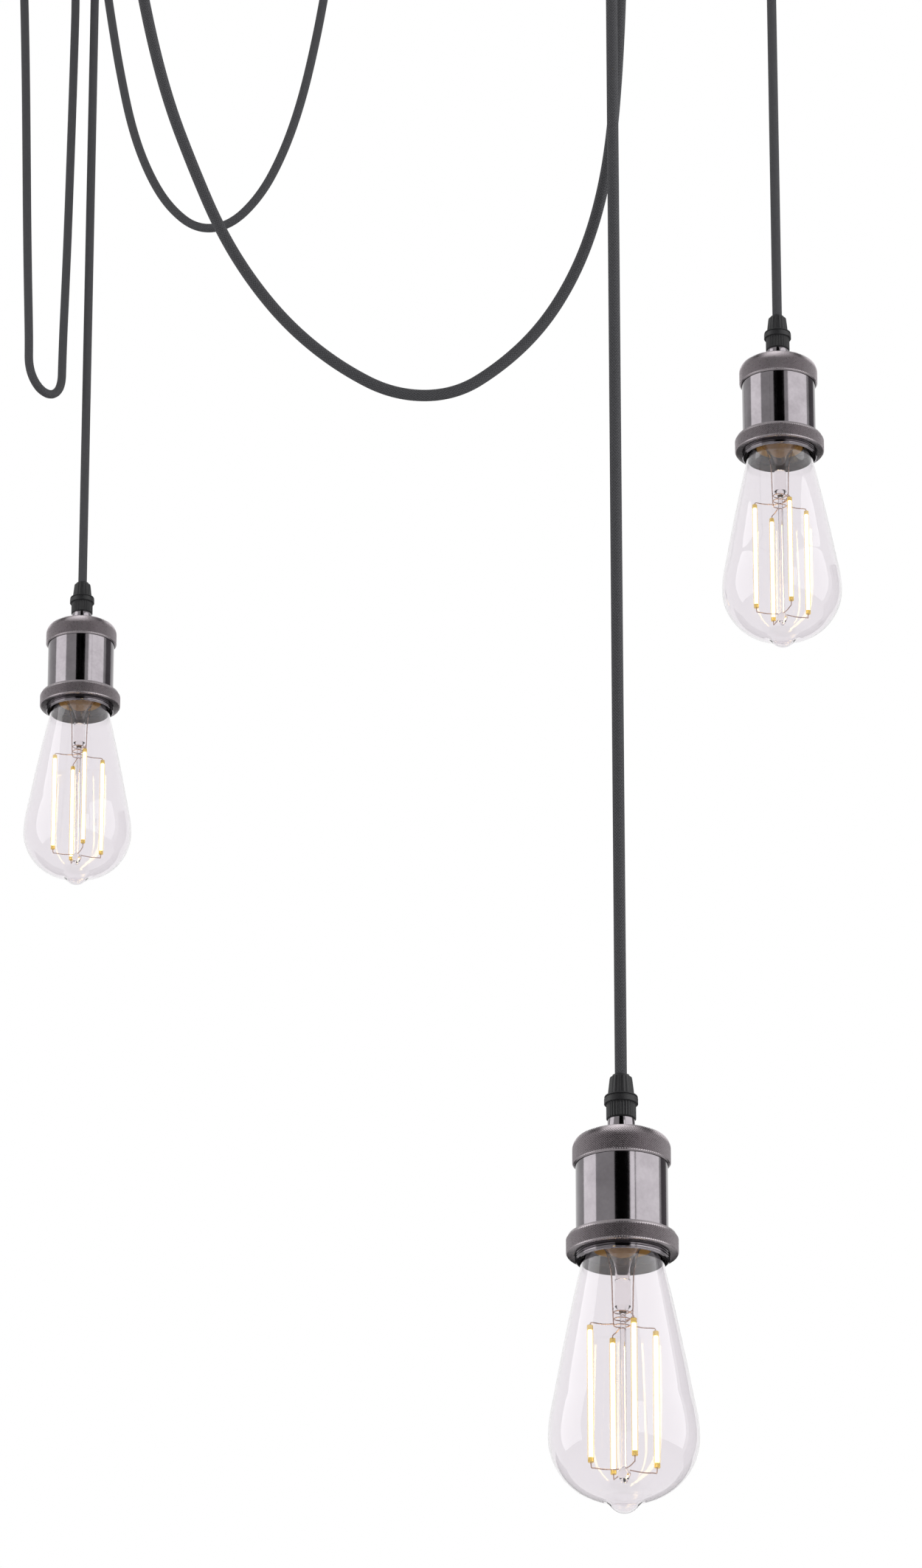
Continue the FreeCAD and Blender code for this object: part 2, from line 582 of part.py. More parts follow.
# ---------------------------------------------------------------- socket insert
def socket_insulator(side):
    outer = "barrel_r - barrel_wall - fit_gap"
    return finished(turned(side + "_insert_turned", [
        ("insert_mouth_r", "insert_low"), (outer, "insert_low"), (outer, "insert_top"),
        ("0", "insert_top"), ("0", "insert_floor"), ("insert_bore_r", "insert_floor"),
        ("insert_bore_r", "insert_mouth"),
    ], lamp_place(side)), side + "_socket_insulator")


def socket_contacts(side):
    """Screw shell with its round thread, centre contact and terminal screws."""
    outer = "insert_bore_r - shell_gap"
    inner = "bulb_root_r + thread_clear"
    shell = turned(side + "_screw_shell", [
        (inner, "shell_low"), (outer, "shell_low"), (outer, "shell_top"), (inner, "shell_top"),
    ], ("0", "0", "0"))
    groove_low = "shell_low - bulb_pitch"
    screw_thread(shell, "SubtractiveHelix", side + "_shell_groove", [
        (inner + " - groove_over", groove_low + " - groove_foot"),
        ("bulb_crest_r + thread_clear", groove_low + " - groove_half"),
        ("bulb_crest_r + thread_clear", groove_low + " + groove_half"),
        (inner + " - groove_over", groove_low + " + groove_foot")],
        "bulb_pitch", "shell_top - shell_low + 3 * bulb_pitch")
    pip_top = "bulb_cap_top + bulb_end_tall + bulb_pip_tall"
    contact = cylinder(side + "_centre_contact", "contact_r", "contact_tall",
                       z=pip_top + " + seat_gap")
    post = cylinder(side + "_contact_post", "contact_post_r",
                    "insert_floor - (%s) - seat_gap - fit_gap" % pip_top, z=pip_top + " + seat_gap")
    parts = [shell, fused(side + "_contact", [contact, post])]
    for sign in (1, -1):
        parts.append(cylinder(side + "_terminal_screw", "terminal_screw_r", "terminal_screw_tall",
                              "%d * terminal_screw_x" % sign, "0", "insert_top + fit_gap / 2"))
    return finished(placed(group(side + "_contact_group", parts), *lamp_place(side)),
                    side + "_socket_contacts")


def core_wires(side):
    """The cord's end inside the grip and its two conductors down to the terminal screws."""
    top = "cap_top + collar_tall + grip_body_tall + grip_flange_tall + grip_nut_tall"
    low = "cap_top - cap_wall - fit_gap / 2 - lock_nut_tall - tube_below"
    parts = [cylinder(side + "_cord_end", "cord_r", "%s - (%s)" % (top, low), z=low)]
    start = value(low + " - fit_gap / 2")
    foot = value("insert_top + terminal_screw_tall + fit_gap")
    straight = value("wire_straight")
    for sign in (1, -1):
        near = sign * value("wire_spread")
        far = sign * value("terminal_screw_x")
        wire, length, radii = tube_along(side + "_conductor", [
            (near, 0, start), (near, 0, start - straight), (far, 0, foot + straight),
            (far, 0, foot)], value("wire_r"))
        parts.append(wire)
    return finished(placed(group(side + "_core_group", parts), *lamp_place(side)),
                    side + "_core_wires")


# ---------------------------------------------------------------- bulb
def bulb_glass(side):
    """Long tapered envelope with a flattened round bottom and a small drawn tip."""
    across = "(glass_r - glass_corner_bow)"
    between = "(glass_base_bow - glass_corner_bow)"
    down = "sqrt(%s ^ 2 - %s ^ 2)" % (between, across)
    middle = "glass_wide_z + " + down
    inside_bow = "(glass_base_bow - glass_wall)"
    tip_top = middle + " - sqrt(glass_base_bow ^ 2 - glass_tip_top_r ^ 2)"
    tip_bow = "(glass_tip_low_r ^ 2 + glass_tip_tall ^ 2) / (2 * glass_tip_tall)"
    return finished(turned(side + "_glass_turned", [
        ("glass_root_r - glass_wall", "glass_root_top"),
        ("glass_root_r", "glass_root_top"),
        ("glass_root_r", "glass_root_z", "glass_neck_bow", 1),
        ("glass_neck_r", "glass_neck_z", "glass_side_bow", 1),
        ("glass_belly_r", "glass_belly_z", "glass_belly_bow", 1),
        ("glass_r", "glass_wide_z", "glass_corner_bow", 1),
        ("%s * glass_base_bow / %s" % (across, between),
         "%s - %s * glass_base_bow / %s" % (middle, down, between), "glass_base_bow", 1),
        ("glass_tip_top_r", tip_top),
        ("glass_tip_low_r", "glass_tip_z", tip_bow, 1),
        ("0", "glass_tip_z - glass_tip_tall"),
        ("0", "%s - %s" % (middle, inside_bow), inside_bow, -1),
        ("%s * %s / %s" % (across, inside_bow, between),
         "%s - %s * %s / %s" % (middle, down, inside_bow, between),
         "glass_corner_bow - glass_wall", -1),
        ("glass_r - glass_wall", "glass_wide_z", "glass_belly_bow - glass_wall", -1),
        ("glass_belly_r - glass_wall", "glass_belly_z", "glass_side_bow - glass_wall", -1),
        ("glass_neck_r - glass_wall", "glass_neck_z", "glass_neck_bow - glass_wall", -1),
        ("glass_root_r - glass_wall", "glass_root_z"),
    ], lamp_place(side)), side + "_bulb_glass")


def bulb_cap(side):
    inner = "bulb_root_r - bulb_cap_wall"
    cap = turned(side + "_bulb_cap_turned", [
        (inner, "bulb_cap_low"), ("bulb_root_r", "bulb_cap_low"), ("bulb_root_r", "bulb_cap_top"),
        ("bulb_end_r", "bulb_cap_top"), ("bulb_end_r", "bulb_cap_top - bulb_cap_wall"),
        (inner, "bulb_cap_top - bulb_cap_wall"),
    ], lamp_place(side))
    ridge_low = "shell_low + bulb_pitch"
    screw_thread(cap, "AdditiveHelix", side + "_bulb_thread", [
        ("bulb_root_r - bulb_ridge_sunk", ridge_low + " - bulb_ridge_foot"),
        ("bulb_crest_r", ridge_low + " - bulb_ridge_half"),
        ("bulb_crest_r", ridge_low + " + bulb_ridge_half"),
        ("bulb_root_r - bulb_ridge_sunk", ridge_low + " + bulb_ridge_foot")],
        "bulb_pitch", "bulb_cap_top - shell_low - 2 * bulb_pitch")
    return finished(cap, side + "_bulb_cap")


def bulb_end(side):
    low = "bulb_cap_top + fit_gap / 2"
    top = "bulb_cap_top + bulb_end_tall"
    return finished(turned(side + "_bulb_end_turned", [
        ("0", low), ("bulb_end_r", low), ("bulb_end_top_r", top), ("bulb_pip_r", top),
        ("bulb_pip_top_r", top + " + bulb_pip_tall"), ("0", top + " + bulb_pip_tall"),
    ], lamp_place(side)), side + "_bulb_end")


def bulb_stem(side):
    """Flared glass stem that ends in the rod and hub carrying the filaments."""
    flare = "glass_root_r - glass_wall - stem_flare_gap"
    return finished(turned(side + "_stem_turned", [
        (flare + " - glass_wall", "stem_top"), (flare, "stem_top"), ("stem_r", "stem_shoulder"),
        ("stem_r", "stem_low"), ("stem_rod_r", "stem_low - stem_taper"),
        ("stem_rod_r", "stem_hub_z + stem_hub_r"), ("stem_hub_r", "stem_hub_z + stem_hub_half"),
        ("stem_hub_r", "stem_hub_z - stem_hub_half"), ("stem_rod_r", "stem_rod_low"),
        ("0", "stem_rod_low"), ("0", "stem_shoulder"),
        ("stem_r - glass_wall", "stem_shoulder + glass_wall"),
    ], lamp_place(side)), side + "_bulb_stem")


def bulb_filaments(side):
    """Four upright filament sticks, each on its own pair of support wires."""
    sticks = []
    for quarter in range(4):
        turn = value("filament_turn") + 90 * quarter
        x, y = "filament_circle_r * cos(%s)" % turn, "filament_circle_r * sin(%s)" % turn
        stick = cylinder(side + "_stick", "filament_r", "filament_top - filament_low",
                         x, y, "filament_low")
        upper = cylinder(side + "_upper_end", "filament_end_r", "filament_end",
                         x, y, "filament_top - filament_end_over")
        lower = cylinder(side + "_lower_end", "filament_end_r", "filament_end",
                         x, y, "filament_low + filament_end_over - filament_end")
        pieces = [stick, upper, lower]
        for height, near in (("lead_top", "stem_rod_r"), ("lead_low", "stem_hub_r")):
            spoke = cylinder(side + "_spoke", "lead_r",
                             "filament_circle_r + 2 * lead_r - (%s) - fit_gap" % near,
                             "(%s + fit_gap) * cos(%s)" % (near, turn),
                             "(%s + fit_gap) * sin(%s)" % (near, turn), height)
            spoke.Placement = FreeCAD.Placement(
                spoke.Placement.Base, FreeCAD.Rotation(Vector(0, 0, 1), turn).multiply(
                    FreeCAD.Rotation(Vector(0, 1, 0), 90)))
            pieces.append(spoke)
        pieces.append(cylinder(side + "_upper_lead", "riser_r", "lead_top - filament_top",
                               x, y, "filament_top"))
        pieces.append(cylinder(side + "_lower_lead", "riser_r", "filament_low - lead_low",
                               x, y, "lead_low"))
        sticks.append(fused(side + "_filament", pieces))
    return finished(placed(group(side + "_filament_group", sticks), *lamp_place(side)),
                    side + "_bulb_filaments")


# ---------------------------------------------------------------- the whole pendant
canopy_cup()
canopy_bracket()
canopy_screws()
canopy_grips()
terminal_block()
ceiling_hook("left_hook", "left_x - cord_r - hook_wire_r - seat_gap", "left_y", 90)
ceiling_hook("right_hook", "right_x - cord_r - hook_wire_r - seat_gap", "right_y", 90)
ceiling_hook("centre_hook", "centre_x", "centre_y + cord_r + hook_wire_r + seat_gap", 0)
ceiling_hook("passing_hook", "pass_x", "pass_y", 90)
ceiling_hook("near_hook", "near_x", "near_y", 0)
cord_tube("left_loop_cord", left_route)
cord_tube("right_swag_cord", right_route)
cord_tube("centre_swag_cord", centre_route)
for lamp in ("left", "centre", "right"):
    drop_cord(lamp)
    shade_ring(lamp)
    barrel(lamp)
    shell_cap(lamp)
    neck_tube(lamp)
    grip_body(lamp)
    grip_nut(lamp)
    socket_insulator(lamp)
    socket_contacts(lamp)
    core_wires(lamp)
    bulb_glass(lamp)
    bulb_cap(lamp)
    bulb_end(lamp)
    bulb_stem(lamp)
    bulb_filaments(lamp)

doc.recompute()
broken = [item.Label for item in doc.Objects if {"Invalid", "Error"} & set(item.State)]
broken += [item.Label for item in sub_parts if item.Shape.isNull() or not item.Shape.isValid()]
if broken:
    raise RuntimeError("not built: " + ", ".join(broken))
os.makedirs("parts", exist_ok=True)
for item in sub_parts:
    item.Shape.exportStep(os.path.join("parts", item.Label + ".step"))
print(len(sub_parts), "sub-parts written")
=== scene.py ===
import bpy
import bmesh
import json
import math
from mathutils import Matrix, Vector


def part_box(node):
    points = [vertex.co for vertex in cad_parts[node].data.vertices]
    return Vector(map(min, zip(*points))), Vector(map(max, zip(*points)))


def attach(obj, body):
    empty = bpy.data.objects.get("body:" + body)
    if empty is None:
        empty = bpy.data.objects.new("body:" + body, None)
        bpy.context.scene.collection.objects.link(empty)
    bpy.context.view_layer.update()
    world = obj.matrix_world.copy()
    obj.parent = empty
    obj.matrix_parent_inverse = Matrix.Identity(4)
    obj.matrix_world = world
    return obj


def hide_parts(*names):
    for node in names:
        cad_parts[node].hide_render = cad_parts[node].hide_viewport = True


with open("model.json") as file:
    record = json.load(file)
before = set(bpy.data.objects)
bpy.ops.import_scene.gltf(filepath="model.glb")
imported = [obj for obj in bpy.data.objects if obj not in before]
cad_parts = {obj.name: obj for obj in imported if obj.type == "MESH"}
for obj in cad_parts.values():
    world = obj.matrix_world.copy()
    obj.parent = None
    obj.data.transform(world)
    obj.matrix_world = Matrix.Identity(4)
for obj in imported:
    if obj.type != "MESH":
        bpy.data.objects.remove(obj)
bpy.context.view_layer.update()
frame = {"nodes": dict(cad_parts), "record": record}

# Cluster pendant: three knurled bulb holders on textile cords from one ceiling canopy.
# A lamp's shapes are in millimetres above its shade ring's lower face, the canopy's and the
# hooks' in millimetres from the ceiling, and the cords' routes in metres.

lampNames = ("left", "centre", "right")
bpy.context.scene.view_settings.view_transform = "Standard"
print("frame loaded:", len(frame["nodes"]), "nodes")


def placed(name, data):
    made = bpy.data.objects.new(name, data)
    bpy.context.scene.collection.objects.link(made)
    return made


# the camera stands low and looks up at the lamps
photoCamera = {"place": (0.2546, -4.0056, -2.2426), "pitch": 112, "lens": 169.33, "sensor": 36,
               "sees": 60}
cameraData = bpy.data.cameras.new("photoCamera")
cameraData.lens = photoCamera["lens"]
cameraData.sensor_width = photoCamera["sensor"]
cameraData.clip_end = photoCamera["sees"]
cameraObject = placed("photoCamera", cameraData)
cameraObject.location = photoCamera["place"]
cameraObject.rotation_euler = (math.radians(photoCamera["pitch"]), 0, 0)
bpy.context.scene.camera = cameraObject
print("camera")


# shader nodes: a number sets a socket, and the output of another node is linked to it
def feed(tree, given, socket):
    if isinstance(given, (int, float)):
        socket.default_value = given
    else:
        tree.links.new(given, socket)


def mathNode(tree, operation, *terms):
    node = tree.nodes.new("ShaderNodeMath")
    node.operation = operation
    for term, socket in zip(terms, node.inputs):
        feed(tree, term, socket)
    return node.outputs[0]


def coordinate(tree, kind):
    return tree.nodes.new("ShaderNodeTexCoord").outputs[kind]


def noiseMask(tree, scale, detail=2):
    noise = tree.nodes.new("ShaderNodeTexNoise")
    noise.inputs["Detail"].default_value = detail
    feed(tree, scale, noise.inputs["Scale"])
    feed(tree, coordinate(tree, "Object"), noise.inputs["Vector"])
    return noise.outputs["Fac"]


def stretched(tree, tone, low, high, start=0.0, end=1.0):  # start to end becomes low to high
    spread = tree.nodes.new("ShaderNodeMapRange")
    limits = {"From Min": start, "From Max": end, "To Min": low, "To Max": high}
    for socket, number in limits.items():
        spread.inputs[socket].default_value = number
    tree.links.new(tone, spread.inputs["Value"])
    return spread.outputs["Result"]


def colourMix(tree, mask, dark, light):
    mix = tree.nodes.new("ShaderNodeMix")
    mix.data_type = "RGBA"
    mix.inputs["A"].default_value = (*dark, 1)
    mix.inputs["B"].default_value = (*light, 1)
    tree.links.new(mask, mix.inputs["Factor"])
    return mix.outputs["Result"]


def bumped(tree, shader, height, strength, distance):
    bump = tree.nodes.new("ShaderNodeBump")
    bump.inputs["Strength"].default_value = strength
    bump.inputs["Distance"].default_value = distance
    tree.links.new(height, bump.inputs["Height"])
    tree.links.new(bump.outputs["Normal"], shader.inputs["Normal"])


def shaderMix(tree, mask, first, second, out="Material Output"):
    mix = tree.nodes.new("ShaderNodeMixShader")
    for source, socket in zip((mask, first.outputs[0], second.outputs[0]), mix.inputs):
        tree.links.new(source, socket)
    tree.links.new(mix.outputs[0], tree.nodes[out].inputs["Surface"])


def seenMask(tree):  # what the camera sees itself, mirrored in metal or through glass
    path = tree.nodes.new("ShaderNodeLightPath").outputs
    seen = mathNode(tree, "MAXIMUM", path["Is Camera Ray"], path["Is Glossy Ray"])
    return mathNode(tree, "MAXIMUM", seen, path["Is Transmission Ray"])


def newMaterial(name):
    material = bpy.data.materials.new(name)
    material.use_nodes = True
    return material, material.node_tree, material.node_tree.nodes["Principled BSDF"]


# the grain that all plain finishes share, each at its own scale
grainLook = {"broadDetail": 3, "finer": 5.0, "fineShare": 0.5, "lift": 0.25, "contrast": 1.2,
             "depth": 0.0002}


def grainGroup():
    look = grainLook
    tree = bpy.data.node_groups.new("fineGrain", "ShaderNodeTree")
    for name, default in (("Scale", 400.0), ("Contrast", 0.5)):
        socket = tree.interface.new_socket(name=name, in_out="INPUT", socket_type="NodeSocketFloat")
        socket.default_value = default
    for name in ("Tone", "Height"):
        tree.interface.new_socket(name=name, in_out="OUTPUT", socket_type="NodeSocketFloat")
    given = tree.nodes.new("NodeGroupInput").outputs
    out = tree.nodes.new("NodeGroupOutput").inputs
    broad = noiseMask(tree, given["Scale"], look["broadDetail"])
    fine = noiseMask(tree, mathNode(tree, "MULTIPLY", given["Scale"], look["finer"]))
    swing = mathNode(tree, "SUBTRACT", broad, 0.5)
    swing = mathNode(tree, "MULTIPLY", swing, given["Contrast"])
    tone = mathNode(tree, "ADD", swing, mathNode(tree, "MULTIPLY", fine, look["fineShare"]))
    tree.links.new(mathNode(tree, "ADD", tone, look["lift"]), out["Tone"])
    tree.links.new(fine, out["Height"])
    return tree


fineGrain = grainGroup()

# the colour goes from dark to light with the grain, and gloss is the lowest and highest roughness
finishes = {
    "canopy": {"dark": (0.016, 0.016, 0.018), "light": (0.032, 0.032, 0.035), "metal": 0.0,
               "gloss": (0.42, 0.6), "grain": 700, "relief": 0.25},
    "bracket_steel": {"dark": (0.42, 0.42, 0.41), "light": (0.62, 0.62, 0.6), "metal": 1.0,
                      "gloss": (0.28, 0.5), "grain": 260, "relief": 0.1},
    "screw_steel": {"dark": (0.03, 0.03, 0.032), "light": (0.07, 0.07, 0.075), "metal": 1.0,
                    "gloss": (0.25, 0.45), "grain": 500, "relief": 0.1},
    "grip_plastic": {"dark": (0.006, 0.006, 0.007), "light": (0.013, 0.013, 0.014), "metal": 0.0,
                     "gloss": (0.38, 0.55), "grain": 900, "relief": 0.15, "shine": 0.22},
    "terminal_plastic": {"dark": (0.6, 0.59, 0.55), "light": (0.72, 0.71, 0.67), "metal": 0.0,
                         "gloss": (0.4, 0.55), "grain": 400, "relief": 0.08},
    "hook_metal": {"dark": (0.016, 0.016, 0.018), "light": (0.034, 0.034, 0.037), "metal": 0.0,
                   "gloss": (0.35, 0.55), "grain": 650, "relief": 0.2},
    "black_nickel": {"dark": (0.130, 0.119, 0.128), "light": (0.196, 0.182, 0.194), "metal": 1.0,
                     "gloss": (0.07, 0.13), "grain": 110, "relief": 0.01},
    "knurled_nickel": {"dark": (0.200, 0.180, 0.190), "light": (0.268, 0.245, 0.256), "metal": 1.0,
                       "gloss": (0.22, 0.36), "grain": 800, "relief": 0.06},
    "insulator": {"dark": (0.008, 0.008, 0.008), "light": (0.018, 0.017, 0.016), "metal": 0.0,
                  "gloss": (0.4, 0.6), "grain": 500, "relief": 0.15},
    "contact_brass": {"dark": (0.40, 0.25, 0.09), "light": (0.62, 0.43, 0.18), "metal": 1.0,
                      "gloss": (0.22, 0.4), "grain": 300, "relief": 0.08},
    "core_insulation": {"dark": (0.03, 0.045, 0.12), "light": (0.05, 0.07, 0.18), "metal": 0.0,
                        "gloss": (0.35, 0.5), "grain": 600, "relief": 0.08},
    "cap_brass": {"dark": (0.38, 0.24, 0.09), "light": (0.60, 0.42, 0.18), "metal": 1.0,
                  "gloss": (0.18, 0.36), "grain": 350, "relief": 0.06},
    "cap_end": {"dark": (0.01, 0.01, 0.01), "light": (0.03, 0.03, 0.03), "metal": 0.0,
                "gloss": (0.08, 0.2), "grain": 300, "relief": 0.05},
    # the cement's faint glow is painted light, standing in for the filaments' light that falls on
    # it inside the mouth
    "cement": {"dark": (0.22, 0.11, 0.02), "light": (0.46, 0.27, 0.07), "metal": 0.0,
               "gloss": (0.5, 0.7), "grain": 260, "relief": 0.3, "paintedLampLight": 0.16},
    "filamentEnd": {"dark": (0.75, 0.50, 0.08), "light": (0.95, 0.70, 0.18), "metal": 1.0,
                    "gloss": (0.2, 0.35), "grain": 600, "relief": 0.05},
    "leadWire": {"dark": (0.36, 0.24, 0.20), "light": (0.55, 0.42, 0.36), "metal": 1.0,
                 "gloss": (0.2, 0.35), "grain": 700, "relief": 0.05},
}


def grainedMaterial(name, look):
    material, tree, shader = newMaterial(name)
    grain = tree.nodes.new("ShaderNodeGroup")
    grain.node_tree = fineGrain
    grain.inputs["Scale"].default_value = look["grain"]
    grain.inputs["Contrast"].default_value = grainLook["contrast"]
    colour = colourMix(tree, grain.outputs["Tone"], look["dark"], look["light"])
    tree.links.new(colour, shader.inputs["Base Color"])
    # a finish with a glow gives off light in its own colour: painted light for the lamp light that
    # falls on it
    if "paintedLampLight" in look:
        tree.links.new(colour, shader.inputs["Emission Color"])
        shader.inputs["Emission Strength"].default_value = look["paintedLampLight"]
    rough = stretched(tree, grain.outputs["Tone"], *look["gloss"])
    tree.links.new(rough, shader.inputs["Roughness"])
    shader.inputs["Metallic"].default_value = look["metal"]
    shader.inputs["Specular IOR Level"].default_value = look.get("shine", 0.5)
    bumped(tree, shader, grain.outputs["Height"], look["relief"], grainLook["depth"])
    return material


materials = {slotName: grainedMaterial(slotName, look) for slotName, look in finishes.items()}

# the cord's woven cover: two sets of strands that cross over and under each other, each painted
# darker towards its edges as painted shade in the grooves between strands
cordLook = {"thick": 0.0052, "steps": 14, "sides": 6, "merge": 0.000001, "sharp": 50}
braidLook = {"strands": 14, "slope": 0.8, "dark": (0.020, 0.020, 0.022),
             "light": (0.066, 0.066, 0.071), "fuzz": 1600, "lift": 0.25, "rough": 0.85,
             "shine": 0.25, "relief": 0.6, "depth": 0.0004}


def braidMaterial():
    look = braidLook
    material, tree, shader = newMaterial("cord_textile")
    split = tree.nodes.new("ShaderNodeSeparateXYZ")
    tree.links.new(coordinate(tree, "UV"), split.inputs[0])
    density = look["strands"] / (math.pi * cordLook["thick"])  # strands in a metre of the surface
    turns = mathNode(tree, "MULTIPLY", split.outputs["Y"], density)
    rises = mathNode(tree, "MULTIPLY", split.outputs["X"], density * look["slope"])
    rounds = []
    counts = []
    for operation in ("ADD", "SUBTRACT"):
        strand = mathNode(tree, operation, turns, rises)
        across = mathNode(tree, "SUBTRACT", mathNode(tree, "FRACT", strand), 0.5)
        squared = mathNode(tree, "MULTIPLY", across, across)
        rounds.append(mathNode(tree, "SUBTRACT", 1.0, mathNode(tree, "MULTIPLY", squared, 4.0)))
        counts.append(mathNode(tree, "FLOOR", strand))
    over = mathNode(tree, "ABSOLUTE", mathNode(tree, "MODULO", mathNode(tree, "ADD", *counts), 2.0))
    height = tree.nodes.new("ShaderNodeMix")
    for socket, source in (("Factor", over), ("A", rounds[0]), ("B", rounds[1])):
        tree.links.new(source, height.inputs[socket])
    fuzz = mathNode(tree, "ADD", noiseMask(tree, look["fuzz"]), look["lift"])
    # each strand's colour falls from its crown to dark at its edges, which is painted shade between
    # the strands; the fuzz noise is the yarn's own tone
    tone = mathNode(tree, "MULTIPLY", height.outputs["Result"], fuzz)
    tree.links.new(colourMix(tree, tone, look["dark"], look["light"]), shader.inputs["Base Color"])
    shader.inputs["Roughness"].default_value = look["rough"]
    shader.inputs["Specular IOR Level"].default_value = look["shine"]
    bumped(tree, shader, tone, look["relief"], look["depth"])
    return material


materials["cord_textile"] = braidMaterial()

# clear glass with a faint flow in it
glassLook = {"bulb_clear": (0.89, 0.866, 0.888), "stem_clear": (0.93, 0.9, 0.9)}
flowLook = {"ior": 1.45, "scale": 35, "rough": 0.03, "relief": 0.05, "depth": 0.0005}


def glassMaterial(name, colour):
    look = flowLook
    material, tree, shader = newMaterial(name)
    shader.inputs["Base Color"].default_value = (*colour, 1)
    shader.inputs["IOR"].default_value = look["ior"]
    shader.inputs["Transmission Weight"].default_value = 1
    flow = noiseMask(tree, look["scale"])
    tree.links.new(stretched(tree, flow, 0.0, look["rough"]), shader.inputs["Roughness"])
    bumped(tree, shader, flow, look["relief"], look["depth"])
    return material


for slotName, colour in glassLook.items():
    materials[slotName] = glassMaterial(slotName, colour)

# the lit core of a filament stick, with a row of small chips along it
glowLook = {"core": (1.0, 0.84, 0.46), "chip": (1.0, 0.72, 0.26), "pitch": 700, "strength": 9.0,
            "rough": 0.5}


def glowMaterial():
    look = glowLook
    material, tree, shader = newMaterial("filament")
    split = tree.nodes.new("ShaderNodeSeparateXYZ")
    tree.links.new(coordinate(tree, "Object"), split.inputs[0])
    chips = mathNode(tree, "FRACT", mathNode(tree, "MULTIPLY", split.outputs["Z"], look["pitch"]))
    chips = mathNode(tree, "MULTIPLY", mathNode(tree, "SUBTRACT", chips, 0.5), 2.0)
    colour = colourMix(tree, mathNode(tree, "ABSOLUTE", chips), look["chip"], look["core"])
    tree.links.new(colour, shader.inputs["Base Color"])
    tree.links.new(colour, shader.inputs["Emission Color"])
    shader.inputs["Emission Strength"].default_value = look["strength"]
    shader.inputs["Roughness"].default_value = look["rough"]
    return material


materials["filament"] = glowMaterial()

# the translucent phosphor round each stick
coatLook = {"colour": (1.0, 0.74, 0.30), "strength": 1.2, "cover": (0.2, 0.4), "cloud": 300}


def coatMaterial():
    look = coatLook
    material, tree, shader = newMaterial("phosphor")
    tree.nodes.remove(shader)
    clear = tree.nodes.new("ShaderNodeBsdfTransparent")
    warm = tree.nodes.new("ShaderNodeEmission")
    warm.inputs["Color"].default_value = (*look["colour"], 1)
    warm.inputs["Strength"].default_value = look["strength"]
    shaderMix(tree, stretched(tree, noiseMask(tree, look["cloud"]), *look["cover"]), clear, warm)
    return material


materials["phosphor"] = coatMaterial()
print("materials:", len(materials))

# the cords' routes: one smooth spline each, with the points of the solid's route
leftRoute = [
    (-0.0165, 0.02858, -0.047), (-0.0145, 0.0288, -0.091), (-0.0124, 0.0292, -0.146),
    (-0.0109, 0.0298, -0.197), (-0.0096, 0.0304, -0.243), (-0.0084, 0.031, -0.279),
    (-0.0074, 0.0315, -0.305), (-0.0068, 0.032, -0.323), (-0.0066, 0.0323, -0.3404),
    (-0.0011, 0.0403, -0.35), (0.0065, 0.0516, -0.35), (0.0119, 0.0595, -0.3404),
    (0.012, 0.0596, -0.323), (0.0122, 0.0598, -0.305), (0.0127, 0.0604, -0.28),
    (0.0134, 0.061, -0.243), (0.014, 0.0614, -0.198), (0.0146, 0.0616, -0.148),
    (0.015, 0.0619, -0.104), (0.0152, 0.062, -0.07), (0.0137, 0.062, -0.0378),
    (0.0285, 0.062, -0.0378), (0.027, 0.062, -0.0499),
]
rightRoute = [
    (0.033, 0, -0.047), (0.0339, -0.0003, -0.067), (0.0367, -0.0015, -0.092),
    (0.0411, -0.003, -0.122), (0.0469, -0.0045, -0.158), (0.0552, -0.006, -0.199),
    (0.0661, -0.009, -0.231), (0.0789, -0.013, -0.255), (0.0959, -0.018, -0.272),
    (0.1158, -0.023, -0.272), (0.1338, -0.028, -0.255), (0.1469, -0.032, -0.23),
    (0.1579, -0.035, -0.197), (0.167, -0.037, -0.154), (0.174, -0.039, -0.11),
    (0.1793, -0.0405, -0.07), (0.1786, -0.041, -0.0378), (0.1934, -0.041, -0.0378),
    (0.1935, -0.043, -0.062), (0.2035, -0.0583, -0.084), (0.2235, -0.091, -0.108),
    (0.2543, -0.14, -0.134), (0.287, -0.191, -0.149), (0.319, -0.243, -0.149),
    (0.352, -0.294, -0.134), (0.383, -0.343, -0.108), (0.404, -0.3767, -0.084),
    (0.413, -0.391, -0.062), (0.4127, -0.393, -0.0378), (0.4275, -0.393, -0.0378),
    (0.426, -0.393, -0.0499),
]
